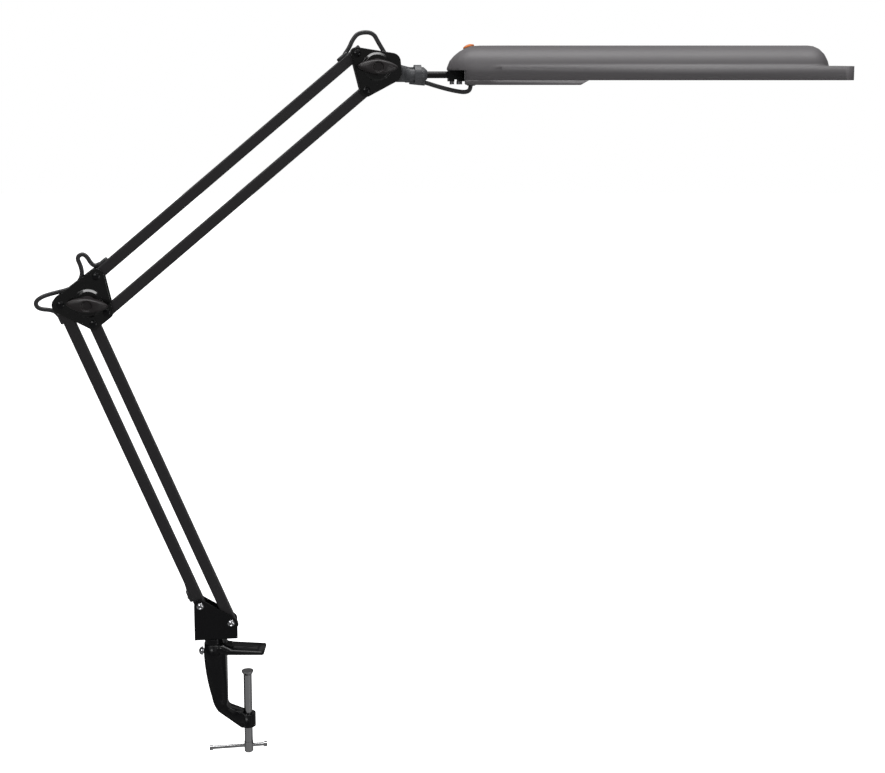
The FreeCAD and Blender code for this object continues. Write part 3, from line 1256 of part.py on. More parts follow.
def head_cable_grommet():
    """Rubber grommet where the cable enters the head."""
    low = COVER_LOW - GLAND_PROUD
    high = COVER_LOW + COVER_WALL
    bore = CABLE_R + CABLE_PLAY
    profile = [(bore, low), (GLAND_R - GLAND_CHAMFER, low), (GLAND_R, low + GLAND_CHAMFER),
               (GLAND_R, COVER_LOW), (GLAND_NECK, COVER_LOW), (GLAND_NECK, high), (GLAND_R, high),
               (GLAND_R, high + GLAND_FLANGE), (bore, high + GLAND_FLANGE)]
    return turned(profile, V(HEAD_ENTRY, 0, 0), V(0, 0, 1))


def reflector_outline(offset):
    """Section of the bent reflector, from one lip to the other; offset is towards the lamp."""
    roof = HOOD_TOP - HOOD_WALL - offset
    lip_y = HOOD_HALF - HOOD_WALL
    low = REFLECTOR_LIP_Z + REFLECTOR_SHEET - offset
    foot = lip_y - REFLECTOR_LIP - offset * 1.3
    crest = CREST_HALF - HOOD_WALL - offset * 0.4
    right = [(lip_y, low), (foot, low), (crest, roof)]
    return right + [(-y, z) for y, z in reversed(right)]


def reflector():
    """Folded aluminium trough over the lamp."""
    outer = reflector_outline(0.0)
    inner = reflector_outline(REFLECTOR_SHEET)
    start = HOLDER_START - REFLECTOR_LEAD
    ring = [V(start, y, z) for y, z in outer + list(reversed(inner))]
    return Part.Face(polygon(ring)).extrude(V(HUMP_END - REFLECTOR_SHORT - start, 0, 0))


def lamp_pins(radius, length, start):
    """The lamp's two contact pins, or the holes for them."""
    return [Part.makeCylinder(radius, length, V(start, y, LAMP_Z), V(1, 0, 0))
            for y in (-LAMP_PIN_HALF, LAMP_PIN_HALF)]


def lampholder():
    """Two-pin holder with its pillar up to the reflector's roof."""
    roof = HOOD_TOP - HOOD_WALL - REFLECTOR_SHEET
    low = LAMP_Z - LAMP_BASE_HEIGHT / 2 - HOLDER_RIM
    high = LAMP_Z + LAMP_BASE_HEIGHT / 2 + HOLDER_RIM
    block = Part.makeBox(HOLDER_LENGTH, HOLDER_WIDTH, high - low, V(HOLDER_START, -HOLDER_WIDTH / 2, low))
    pillar = Part.makeBox(HOLDER_LENGTH, HOLDER_PILLAR, roof - high,
                          V(HOLDER_START, -HOLDER_PILLAR / 2, high))
    depth = LAMP_PIN + BORE_ROOM
    holes = lamp_pins(LAMP_PIN_R + LAMP_PIN_ROOM, depth, LAMP_START - depth)
    return block.fuse(pillar).cut(holes).removeSplitter()


def lamp_base():
    """Plastic base of the lamp with its two pins."""
    body = Part.makeBox(LAMP_BASE_LENGTH, LAMP_BASE_WIDTH, LAMP_BASE_HEIGHT,
                        V(LAMP_START, -LAMP_BASE_WIDTH / 2, LAMP_Z - LAMP_BASE_HEIGHT / 2))
    edges = [e for e in body.Edges if abs(e.tangentAt(e.FirstParameter).x) > 0.99]
    body = body.makeFillet(LAMP_BASE_CORNER, edges)
    return body.fuse(lamp_pins(LAMP_PIN_R, LAMP_PIN, LAMP_START - LAMP_PIN))


def lamp_tubes():
    """Two glass tubes with round ends, joined by a bridge near their tips."""
    start = LAMP_START + LAMP_BASE_LENGTH
    tubes = []
    for side in (-1, 1):
        y = side * LAMP_SPACING / 2
        length = LAMP_TIP - LAMP_TUBE_R - start
        straight = Part.makeCylinder(LAMP_TUBE_R, length, V(start, y, LAMP_Z), V(1, 0, 0))
        tip = Part.makeSphere(LAMP_TUBE_R, V(LAMP_TIP - LAMP_TUBE_R, y, LAMP_Z))
        tubes.append(straight.fuse(tip))
    bridge = Part.makeCylinder(LAMP_BRIDGE_R, LAMP_SPACING,
                               V(LAMP_TIP - 3 * LAMP_TUBE_R, -LAMP_SPACING / 2, LAMP_Z), V(0, 1, 0))
    return tubes[0].fuse([tubes[1], bridge]).removeSplitter()


def lamp_clip():
    """Spring clip that holds the lamp's free end under the reflector's roof."""
    roof = HOOD_TOP - HOOD_WALL - REFLECTOR_SHEET
    tube_top = LAMP_Z + LAMP_TUBE_R
    half = LAMP_SPACING / 2
    stem = Part.makeBox(CLIP_WIDTH, 2 * half, roof - tube_top, V(CLIP_AT, -half, tube_top))
    hollow = Part.makeBox(CLIP_WIDTH, 2 * half - 2 * CLIP_STEEL, roof - tube_top - 2 * CLIP_STEEL,
                          V(CLIP_AT, -half + CLIP_STEEL, tube_top + CLIP_STEEL))
    jaws = []
    for side in (-1, 1):
        y = side * half
        ring = Part.makeCylinder(LAMP_TUBE_R + CLIP_STEEL, CLIP_WIDTH, V(CLIP_AT, y, LAMP_Z), V(1, 0, 0))
        mouth = Part.makeBox(CLIP_WIDTH, 4 * LAMP_TUBE_R, 4 * LAMP_TUBE_R,
                             V(CLIP_AT, y - 2 * LAMP_TUBE_R, LAMP_Z - CLIP_HOLD - 4 * LAMP_TUBE_R))
        jaws.append(ring.cut(mouth))
    clip = stem.cut(hollow).fuse(jaws)
    glass = [Part.makeCylinder(LAMP_TUBE_R, 4 * CLIP_WIDTH, V(CLIP_AT - CLIP_WIDTH, side * half, LAMP_Z),
                               V(1, 0, 0)) for side in (-1, 1)]
    return clip.cut(glass).removeSplitter()


def ballast():
    """Iron-cored ballast on the lower cover's floor."""
    floor = COVER_LOW + COVER_WALL
    core = Part.makeBox(BALLAST_LENGTH, BALLAST_WIDTH, BALLAST_HEIGHT,
                        V(BALLAST_START, -BALLAST_WIDTH / 2, floor))
    middle = BALLAST_START + BALLAST_LENGTH / 2
    coil = Part.makeBox(BALLAST_COIL, BALLAST_COIL_WIDTH, BALLAST_COIL_HEIGHT,
                        V(middle - BALLAST_COIL / 2, -BALLAST_COIL_WIDTH / 2, floor))
    return core.fuse(coil).removeSplitter()


def terminal_block():
    """Terminal block on the notch's wall, above the cable's entry."""
    start = NOTCH + HOOD_WALL
    block = Part.makeBox(TERMINAL_LENGTH, TERMINAL_WIDTH, TERMINAL_HEIGHT,
                         V(start, -TERMINAL_WIDTH / 2, TERMINAL_LOW))
    wells = TERMINAL_LOW + TERMINAL_HEIGHT - TERMINAL_WELL
    holes = [Part.makeCylinder(TERMINAL_WELL_R, TERMINAL_WELL, V(start + TERMINAL_LENGTH / 2, y, wells))
             for y in (-TERMINAL_PITCH, 0.0, TERMINAL_PITCH)]
    return block.cut(holes)


def switch_body():
    """Push switch under the button's well."""
    half = SWITCH_SIZE / 2
    body = Part.makeBox(SWITCH_SIZE, SWITCH_SIZE, SWITCH_HEIGHT,
                        V(-half, -half, -BUTTON_WELL - SWITCH_HEIGHT))
    bore = Part.makeCylinder(STEM_R + RUN, SWITCH_BORE - BUTTON_WELL, V(0, 0, -SWITCH_BORE))
    return button_frame(body.cut(bore))


def power_button():
    """Round domed push button with its stem."""
    skirt = Part.makeCylinder(BUTTON_R, BUTTON_SKIRT + BUTTON_PROUD, V(0, 0, -BUTTON_SKIRT))
    ball = (BUTTON_R ** 2 + BUTTON_DOME ** 2) / (2 * BUTTON_DOME)
    dome = Part.makeSphere(ball, V(0, 0, BUTTON_PROUD + BUTTON_DOME - ball))
    dome = dome.common(Part.makeCylinder(BUTTON_R, BUTTON_DOME, V(0, 0, BUTTON_PROUD)))
    stem = Part.makeCylinder(STEM_R, STEM_REACH - BUTTON_SKIRT, V(0, 0, -STEM_REACH))
    return button_frame(skirt.fuse([dome, stem]))


def build_head():
    for name, make in (("hood", hood), ("lower_cover", lower_cover), ("reflector", reflector),
                       ("lampholder", lampholder), ("lamp_base", lamp_base), ("lamp_tubes", lamp_tubes),
                       ("lamp_clip", lamp_clip), ("ballast", ballast), ("terminal_block", terminal_block),
                       ("switch_body", switch_body), ("power_button", power_button),
                       ("head_cable_grommet", head_cable_grommet)):
        export(name, head_to_row(make()))
    export("cover_screws", *[head_to_row(screw) for screw in cover_screws()])


build_clamp()
build_base()
build_bars()
build_cables()
build_elbow()
build_head_joint()
build_swivel()
build_head()
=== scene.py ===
# %% [markdown]
# # A clamp desk lamp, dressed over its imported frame
# The frame holds every solid of the lamp at its real size and place. This lesson gives each of
# them its finish, replaces the few that need a softer form, such as the cable and the wing knobs,
# and sets up the studio. Everything is in metres, in the frame's own axes: X runs along the jaw
# over the desk, Z is up, and -Y is the front, where the wing knobs are.

# %% Load the frame
import math

import bmesh
import bpy
import numpy as np
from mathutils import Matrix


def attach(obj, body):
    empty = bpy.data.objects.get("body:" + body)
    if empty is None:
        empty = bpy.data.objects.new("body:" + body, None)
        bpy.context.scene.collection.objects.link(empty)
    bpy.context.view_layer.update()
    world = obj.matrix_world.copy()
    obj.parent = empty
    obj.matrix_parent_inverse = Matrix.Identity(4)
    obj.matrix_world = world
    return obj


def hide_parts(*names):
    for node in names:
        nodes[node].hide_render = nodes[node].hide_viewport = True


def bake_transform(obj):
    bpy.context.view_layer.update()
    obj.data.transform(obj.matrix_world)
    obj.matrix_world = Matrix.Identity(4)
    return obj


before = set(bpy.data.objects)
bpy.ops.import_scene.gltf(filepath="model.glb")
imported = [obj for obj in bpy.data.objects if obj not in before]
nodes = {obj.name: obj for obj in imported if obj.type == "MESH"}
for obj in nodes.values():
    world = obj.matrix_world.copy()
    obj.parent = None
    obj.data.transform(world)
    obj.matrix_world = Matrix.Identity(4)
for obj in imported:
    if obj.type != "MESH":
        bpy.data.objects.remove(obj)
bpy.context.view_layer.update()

# %% [markdown]
# ## The camera
# The photograph shows the horizon near the top of the picture, and lines that stand upright stay
# nearly upright. A long lens, a small tilt down and a small shift of the sensor give that view.
# The camera comes first, because every later choice is judged through it.

# %% Camera at the photograph's viewing angle
LENS_MM = 61.02
TILT_DOWN = 8.0
SHIFT_Y = -0.1307

camera_data = bpy.data.cameras.new("photo_camera")
camera_data.sensor_width = 36.0
camera_data.lens = LENS_MM
camera_data.shift_y = SHIFT_Y
camera_data.clip_end = 30.0
camera = bpy.data.objects.new("photo_camera", camera_data)
camera.location = (0.225458, -1.653254, 0.674234)
camera.rotation_euler = (math.radians(90.0 - TILT_DOWN), 0.0, 0.0)
bpy.context.scene.collection.objects.link(camera)
bpy.context.scene.camera = camera
print("camera at", tuple(round(c, 3) for c in camera.location), "lens", LENS_MM)

# %% [markdown]
# ## The cable's route
# The mains cable enters the lower tube at the clamp, leaves it at the elbow, loops back into the
# upper tube, and loops again over the head joint. Its four stretches use the very points that the
# solids were swept along, as NURBS control points, so the dressed cable lies where the solid one
# does. The points are written in the arm's own plane and turned with the arm about the post.

# %% Pivots and the cable's control points
ARM_YAW = math.radians(8.0)
POST_TO_SCREW = 38.0
LOWER_ANGLE, UPPER_ANGLE = 112.2, 40.0
LOWER_SPAN, UPPER_SPAN = 380.0, 377.0
ROD_DROP, YAW_FROM_KNOB = 9.0, 93.2
HEAD_ENTRY, HEAD_TURN, TERMINAL_LOW = 13.3, -15.4, -2.9
TUBE_EXIT = ((22.0, 0.0), (13.0, 7.2), (3.4, 9.4))
INLET_START = (11.2, 8.6)
ELBOW_LOOP_UPPER = ((-12.1, 25.3), (-21.2, 21.2), (-16.4, 10.0), (-15.4, -0.5), (-22.6, -11.0),
                    (-33.1, -15.7))
ELBOW_LOOP_LOWER = ((-8.4, 12.2), (-21.4, 8.2), (-28.2, 2.2), (-24.9, -5.2))
HEAD_LOOP_UPPER = ((-3.9, 15.6), (2.6, 22.9))
HEAD_LOOP_LOWER = ((-3.5, 46.8), (2.7, 35.1), (10.2, 22.9))
SWIVEL_DUCT = ((20.2, 4.1), (30.2, -4.7), (40.2, -6.9), (54.2, -8.3))
LAMP_LOOP_LEFT = ((-28.0, -11.9), (-17.5, -14.9))
LAMP_LOOP_RIGHT = ((-4.0, -18.2), (8.0, -19.7))


def polar(angle, length):
    """A step (u, v, w) in the arm's plane, its angle in degrees from u towards w."""
    return np.array([length * math.cos(math.radians(angle)), 0.0, length * math.sin(math.radians(angle))])


def from_origin(pairs, origin):
    """Points at (right, up) pairs from an origin in the arm's plane."""
    return [origin + np.array([u, 0.0, w]) for u, w in pairs]


def along_tube(pairs, pivot, angle, span=None):
    """Points along a tube and out from its axis; with a span, they are counted from its far end."""
    return [pivot + polar(angle, a if span is None else span - a) + polar(angle + 90.0, out)
            for a, out in pairs]


def to_row(point):
    """From the arm's frame in mm to the frame's axes in metres: a turn about the post."""
    u, v, w = point
    x = u * math.cos(ARM_YAW) - v * math.sin(ARM_YAW) - POST_TO_SCREW
    return np.array([x, u * math.sin(ARM_YAW) + v * math.cos(ARM_YAW), w]) / 1000.0


base_left = np.array([-14.5, 0.0, 56.3])
elbow_left = base_left + polar(LOWER_ANGLE, LOWER_SPAN)
elbow_top = elbow_left + np.array([39.2, 0.0, 30.9])
head_top = elbow_top + polar(UPPER_ANGLE, UPPER_SPAN)
elbow_knob_axis = elbow_left + np.array([29.6, 0.0, 1.0])
head_knob_axis = head_top + np.array([21.9, 0.0, -14.5])
rod_origin = head_knob_axis - np.array([0.0, 0.0, ROD_DROP])
yaw_origin = rod_origin + np.array([YAW_FROM_KNOB, 0.0, 0.0])

elbow_upper = from_origin(ELBOW_LOOP_UPPER, elbow_top)
elbow_lower = from_origin(ELBOW_LOOP_LOWER, elbow_left)
elbow_half = (elbow_upper[-1] + elbow_lower[0]) / 2
head_over = from_origin(HEAD_LOOP_UPPER, head_top)
head_after = from_origin(HEAD_LOOP_LOWER, rod_origin)
head_half = (head_over[-1] + head_after[0]) / 2
lamp_left = from_origin(LAMP_LOOP_LEFT, yaw_origin)
aside = -HEAD_ENTRY * math.sin(ARM_YAW)
lamp_right = [yaw_origin + np.array([u, aside * k / len(LAMP_LOOP_RIGHT), w])
              for k, (u, w) in enumerate(LAMP_LOOP_RIGHT)]
lamp_half = (lamp_left[-1] + lamp_right[0]) / 2
entry = yaw_origin + np.array([HEAD_ENTRY * math.cos(ARM_YAW), aside, 0.0])

lower_stretch = (along_tube([INLET_START, TUBE_EXIT[0]], base_left, LOWER_ANGLE)
                 + along_tube(TUBE_EXIT, base_left, LOWER_ANGLE, LOWER_SPAN)
                 + elbow_lower[::-1] + [elbow_half])
upper_stretch = ([elbow_half] + elbow_upper[::-1] + along_tube(TUBE_EXIT, elbow_top, UPPER_ANGLE)[::-1]
                 + along_tube(TUBE_EXIT, elbow_top, UPPER_ANGLE, UPPER_SPAN) + head_over + [head_half])
swivel_stretch = [head_half] + head_after + from_origin(SWIVEL_DUCT, rod_origin) + lamp_left + [lamp_half]
head_stretch = ([lamp_half] + lamp_right + [entry + np.array([0.0, 0.0, HEAD_TURN]),
                                            entry + np.array([0.0, 0.0, TERMINAL_LOW])])
print("cable points:", [len(r) for r in (lower_stretch, upper_stretch, swivel_stretch, head_stretch)])

# %% [markdown]
# ## The studio
# The photograph is a catalogue shot: white all round, with long soft boxes above and in front
# that draw soft bands along the tubes and the hood. The lamp hangs on its clamp, so the floor
# lies at floor height under a desk. The world is plain white to the camera alone. To the lamp it
# is dim at the horizon and brighter overhead. Its reflection has a dark card on each side and a
# dark strip in the middle, where a camera would stand, so that gloss paint stays black and plated
# screws keep their edges.

# %% Floor, world and soft boxes
FLOOR_Z = -0.72
FLOOR_HALF = 14.0
HORIZON_LIGHT, OVERHEAD_LIGHT = 0.22, 0.85
CARD_GREYS = ((0.0, 0.16), (0.3, 1.0), (0.55, 1.0), (0.75, 0.06), (0.95, 0.25))


def flat_square(name, half, height):
    """A square of side 2 * half at a given height, facing up."""
    corners = [(-half, -half, height), (half, -half, height), (half, half, height), (-half, half, height)]
    mesh = bpy.data.meshes.new(name)
    mesh.from_pydata(corners, [], [(0, 1, 2, 3)])
    item = bpy.data.objects.new(name, mesh)
    bpy.context.scene.collection.objects.link(item)
    return item


def soft_box(name, place, aim, width, height, watts):
    """An area light at a place, turned to face the point that it lights."""
    data = bpy.data.lights.new(name, "AREA")
    data.shape = "RECTANGLE"
    data.size = width
    data.size_y = height
    data.energy = watts
    box = bpy.data.objects.new(name, data)
    box.location = place
    direction = np.array(aim) - np.array(place)
    box.rotation_euler = (math.atan2(math.hypot(direction[0], direction[1]), -direction[2]), 0.0,
                          math.atan2(direction[1], direction[0]) - math.pi / 2)
    bpy.context.scene.collection.objects.link(box)
    return box


floor = flat_square("studio_floor", FLOOR_HALF, FLOOR_Z)


def studio_world(low, high):
    """Strength = 1 to the camera; else low at the horizon, rising to high overhead. Reflected
    rays scale it by CARD_GREYS, a ramp of (|x|, grey) over their sideways part |x|."""
    made = bpy.data.worlds.new("studio_white")
    made.use_nodes = True
    tree = made.node_tree.nodes
    link = made.node_tree.links.new
    place = tree.new("ShaderNodeTexCoord")
    parts = tree.new("ShaderNodeSeparateXYZ")
    rise = tree.new("ShaderNodeMapRange")
    rise.interpolation_type = "SMOOTHSTEP"
    rise.inputs["From Min"].default_value = 0.1
    rise.inputs["From Max"].default_value = 0.8
    rise.inputs["To Min"].default_value = low
    rise.inputs["To Max"].default_value = high
    path = tree.new("ShaderNodeLightPath")
    pick = tree.new("ShaderNodeMix")
    pick.inputs["B"].default_value = 1.0
    sideways = tree.new("ShaderNodeMath")
    sideways.operation = "ABSOLUTE"
    cards = tree.new("ShaderNodeValToRGB")
    cards.color_ramp.interpolation = "EASE"
    while len(cards.color_ramp.elements) < len(CARD_GREYS):
        cards.color_ramp.elements.new(1.0)
    for stop, (position, grey) in zip(cards.color_ramp.elements, CARD_GREYS):
        stop.position = position
        stop.color = (grey, grey, grey, 1.0)
    shaded = tree.new("ShaderNodeMath")
    shaded.operation = "MULTIPLY"
    by_path = tree.new("ShaderNodeMix")
    link(place.outputs["Generated"], parts.inputs["Vector"])
    link(parts.outputs["Z"], rise.inputs["Value"])
    link(path.outputs["Is Camera Ray"], pick.inputs["Factor"])
    link(parts.outputs["X"], sideways.inputs[0])
    link(sideways.outputs[0], cards.inputs["Fac"])
    link(rise.outputs["Result"], shaded.inputs[0])
    link(cards.outputs["Color"], shaded.inputs[1])
    link(path.outputs["Is Glossy Ray"], by_path.inputs["Factor"])
    link(rise.outputs["Result"], by_path.inputs["A"])
    link(shaded.outputs[0], by_path.inputs["B"])
    link(by_path.outputs["Result"], pick.inputs["A"])
    link(pick.outputs["Result"], tree["Background"].inputs["Strength"])
    tree["Background"].inputs["Color"].default_value = (1.0, 1.0, 1.0, 1.0)
    return made


bpy.context.scene.world = studio_world(HORIZON_LIGHT, OVERHEAD_LIGHT)
soft_box("soft_box_top", (0.2, -0.2, 2.2), (0.2, 0.0, 0.5), 2.4, 0.7, 46.0)
soft_box("soft_box_front", (-0.9, -2.2, 1.6), (0.2, 0.0, 0.4), 1.0, 0.6, 16.0)
soft_box("strip_right", (1.7, -1.3, 0.0), (0.0, 0.0, 0.2), 0.25, 1.6, 9.0)
bpy.context.scene.view_settings.view_transform = "Standard"
print("floor at", FLOOR_Z, "soft boxes: 3")

# %% [markdown]
# ## Shared effects
# Two effects turn up on almost every surface. Sprayed paint and moulded plastic are never quite
# even in tone, and both have a very fine relief: orange peel in paint, spark-eroded grain in
# plastic. Each is a node group, built once, and every material sets its own scale and strength.

# %% Node group: slow change of tone


def group_socket(group, name, direction, kind, value=None):
    """Add one named socket to a node group."""
    socket = group.interface.new_socket(name=name, in_out=direction, socket_type=kind)
    if value is not None:
        socket.default_value = value
    return socket


def tone_group():
    """Color = Tone * (1 + Spread * (noise(P * Scale) - 0.5)), with P in object coordinates."""
    group = bpy.data.node_groups.new("slow_tone", "ShaderNodeTree")
    group_socket(group, "Tone", "INPUT", "NodeSocketColor", (0.1, 0.1, 0.1, 1.0))
    group_socket(group, "Spread", "INPUT", "NodeSocketFloat", 0.2)
    group_socket(group, "Scale", "INPUT", "NodeSocketFloat", 30.0)
    group_socket(group, "Color", "OUTPUT", "NodeSocketColor")
    group_socket(group, "Mask", "OUTPUT", "NodeSocketFloat")
    tree = group.nodes
    link = group.links.new
    given = tree.new("NodeGroupInput")
    out = tree.new("NodeGroupOutput")
    place = tree.new("ShaderNodeTexCoord")
    noise = tree.new("ShaderNodeTexNoise")
    noise.inputs["Detail"].default_value = 4.0
    noise.inputs["Roughness"].default_value = 0.6
    centred = tree.new("ShaderNodeMath")
    centred.operation = "SUBTRACT"
    centred.inputs[1].default_value = 0.5
    spread = tree.new("ShaderNodeMath")
    spread.operation = "MULTIPLY_ADD"
    spread.inputs[2].default_value = 1.0
    scaled = tree.new("ShaderNodeVectorMath")
    scaled.operation = "SCALE"
    link(place.outputs["Object"], noise.inputs["Vector"])
    link(given.outputs["Scale"], noise.inputs["Scale"])
    link(noise.outputs["Fac"], centred.inputs[0])
    link(centred.outputs[0], spread.inputs[0])
    link(given.outputs["Spread"], spread.inputs[1])
    link(given.outputs["Tone"], scaled.inputs[0])
    link(spread.outputs[0], scaled.inputs["Scale"])
    link(scaled.outputs["Vector"], out.inputs["Color"])
    link(noise.outputs["Fac"], out.inputs["Mask"])
    return group


# %% Node group: fine relief


def relief_group():
    """Height = noise(P * Scale) + Fine * noise(P * 4 * Scale), with P in object coordinates."""
    group = bpy.data.node_groups.new("fine_relief", "ShaderNodeTree")
    group_socket(group, "Scale", "INPUT", "NodeSocketFloat", 900.0)
    group_socket(group, "Fine", "INPUT", "NodeSocketFloat", 0.3)
    group_socket(group, "Height", "OUTPUT", "NodeSocketFloat")
    tree = group.nodes
    link = group.links.new
    given = tree.new("NodeGroupInput")
    out = tree.new("NodeGroupOutput")
    place = tree.new("ShaderNodeTexCoord")
    coarse = tree.new("ShaderNodeTexNoise")
    coarse.inputs["Detail"].default_value = 2.0
    fine = tree.new("ShaderNodeTexNoise")
    fine.inputs["Detail"].default_value = 1.0
    finer = tree.new("ShaderNodeMath")
    finer.operation = "MULTIPLY"
    finer.inputs[1].default_value = 4.0
    total = tree.new("ShaderNodeMath")
    total.operation = "MULTIPLY_ADD"
    link(place.outputs["Object"], coarse.inputs["Vector"])
    link(place.outputs["Object"], fine.inputs["Vector"])
    link(given.outputs["Scale"], coarse.inputs["Scale"])
    link(given.outputs["Scale"], finer.inputs[0])
    link(finer.outputs[0], fine.inputs["Scale"])
    link(fine.outputs["Fac"], total.inputs[0])
    link(given.outputs["Fine"], total.inputs[1])
    link(coarse.outputs["Fac"], total.inputs[2])
    link(total.outputs[0], out.inputs["Height"])
    return group


SLOW_TONE = tone_group()
FINE_RELIEF = relief_group()
print("shared effects:", SLOW_TONE.name, FINE_RELIEF.name)

# %% [markdown]
# ## The finishes
# One function builds a material from a tone, a gloss and a relief, because the lamp's finishes
# differ only in these numbers: gloss black on the pressings, satin on the tubes, grain on the
# moulded parts. Bright metal has its own function, with fine scratches along one axis. Plated
# screws in a white studio would vanish, so their rims get painted shade: the base colour darkens
# towards the rims, a painted dark reflection such as black cards beside a lamp would give.

# %% Painted and moulded finishes


def finish(name, tone, rough, rough_spread=0.06, spread=0.12, tone_scale=25.0, relief=900.0,
           depth=0.00002, fine=0.3, coat=0.0, specular=0.5, edge=0.0003):
    """Colour and roughness follow slow_tone; the normal is fine_relief over rounded edges."""
    material = bpy.data.materials.new(name)
    material.use_nodes = True
    tree = material.node_tree.nodes
    link = material.node_tree.links.new
    shader = tree["Principled BSDF"]
    shader.inputs["Metallic"].default_value = 0.0
    shader.inputs["Specular IOR Level"].default_value = specular
    shader.inputs["Coat Weight"].default_value = coat
    shader.inputs["Coat Roughness"].default_value = 0.12
    tint = tree.new("ShaderNodeGroup")
    tint.node_tree = SLOW_TONE
    tint.inputs["Tone"].default_value = (*tone, 1.0)
    tint.inputs["Spread"].default_value = spread
    tint.inputs["Scale"].default_value = tone_scale
    gloss = tree.new("ShaderNodeMapRange")
    gloss.inputs["To Min"].default_value = rough - rough_spread
    gloss.inputs["To Max"].default_value = rough + rough_spread
    surface = tree.new("ShaderNodeGroup")
    surface.node_tree = FINE_RELIEF
    surface.inputs["Scale"].default_value = relief
    surface.inputs["Fine"].default_value = fine
    soft_edge = tree.new("ShaderNodeBevel")
    soft_edge.samples = 4
    soft_edge.inputs["Radius"].default_value = edge
    bump = tree.new("ShaderNodeBump")
    bump.inputs["Distance"].default_value = depth
    bump.inputs["Strength"].default_value = 1.0
    link(soft_edge.outputs["Normal"], bump.inputs["Normal"])
    link(tint.outputs["Color"], shader.inputs["Base Color"])
    link(tint.outputs["Mask"], gloss.inputs["Value"])
    link(gloss.outputs["Result"], shader.inputs["Roughness"])
    link(surface.outputs["Height"], bump.inputs["Height"])
    link(bump.outputs["Normal"], shader.inputs["Normal"])
    return material


black_gloss = finish("black_gloss_paint", (0.003, 0.003, 0.0034), 0.2, depth=0.00001, relief=400.0,
                     specular=0.2, edge=0.0008)
arm_satin = finish("arm_satin_paint", (0.012, 0.011, 0.012), 0.4, depth=0.00001, relief=1200.0,
                   specular=0.32)
plate_paint = finish("plate_black_paint", (0.003, 0.003, 0.003), 0.16, depth=0.00001, relief=600.0,
                     specular=0.5, edge=0.0008)
knob_grain = finish("knob_moulded_grain", (0.008, 0.0062, 0.0067), 0.42, relief=1500.0, depth=0.00002,
                    fine=0.5, specular=0.4)
swivel_grain = finish("swivel_moulded_grain", (0.034, 0.035, 0.038), 0.48, relief=1500.0, depth=0.00003)
bracket_black = finish("bracket_black_paint", (0.004, 0.004, 0.004), 0.35, specular=0.25)
hood_satin = finish("hood_satin_anthracite", (0.060, 0.056, 0.059), 0.5, relief=1400.0, depth=0.000004,
                    tone_scale=12.0, spread=0.06, specular=0.42, edge=0.002)
nylon = finish("black_nylon", (0.008, 0.008, 0.008), 0.5)
rubber = finish("cable_rubber", (0.014, 0.014, 0.015), 0.4, relief=1600.0)
switch_orange = finish("switch_orange", (0.42, 0.11, 0.018), 0.3, depth=0.00001, spread=0.08)
holder_white = finish("holder_white", (0.74, 0.72, 0.66), 0.45)
ballast_grey = finish("ballast_lacquer", (0.10, 0.11, 0.12), 0.55, relief=300.0, depth=0.0002)
floor_white = finish("floor_white", (0.86, 0.86, 0.86), 0.9, rough_spread=0.02, spread=0.01,
                     tone_scale=1.0, relief=20.0, depth=0.0001)
floor.data.materials.append(floor_white)
print("materials so far:", len(bpy.data.materials))

# %% [markdown]
# ## The paper sweep
# The floor plays the lit paper of a photo studio. It glows to the camera, so that it meets the
# white behind it with no edge, and hardly at all to the lamp. In reflections it is dark, because
# paper under a desk lamp's clamp would otherwise turn every bright metal part white.

# %% Floor seen by the camera, by the lamp and in reflections
GLOW_TO_LAMP, GLOW_TO_CAMERA = 0.08, 0.8
SHADE_IN_REFLECTIONS = 0.14


def by_ray(tree, ray, plain, special):
    """Value node: plain for most rays, special for the kind of ray that is named."""
    path = tree.nodes.new("ShaderNodeLightPath")
    pick = tree.nodes.new("ShaderNodeMapRange")
    pick.inputs["To Min"].default_value = plain
    pick.inputs["To Max"].default_value = special
    tree.links.new(path.outputs[ray], pick.inputs["Value"])
    return pick


def paper_sweep(material):
    """Scale the paint in reflections, and let the surface glow to the camera."""
    tree = material.node_tree
    shader = tree.nodes["Principled BSDF"]
    paint = shader.inputs["Base Color"]
    shade = tree.nodes.new("ShaderNodeVectorMath")
    shade.operation = "SCALE"
    dim = by_ray(tree, "Is Glossy Ray", 1.0, SHADE_IN_REFLECTIONS)
    glow = by_ray(tree, "Is Camera Ray", GLOW_TO_LAMP, GLOW_TO_CAMERA)
    shader.inputs["Emission Color"].default_value = (1.0, 1.0, 1.0, 1.0)
    tree.links.new(paint.links[0].from_socket, shade.inputs["Vector"])
    tree.links.new(dim.outputs["Result"], shade.inputs["Scale"])
    tree.links.new(shade.outputs["Vector"], paint)
    tree.links.new(glow.outputs["Result"], shader.inputs["Emission Strength"])


paper_sweep(floor_white)
print("paper sweep:", floor_white.name)

# %% Bright metal
# Painted rim shade: as Facing runs from RIM_START to RIM_END, the base colour falls to PAINTED_RIM_SHADE
# times its tone.
RIM_START, RIM_END, PAINTED_RIM_SHADE = 0.25, 0.85, 0.22
ROUGH_SHARE = 0.3


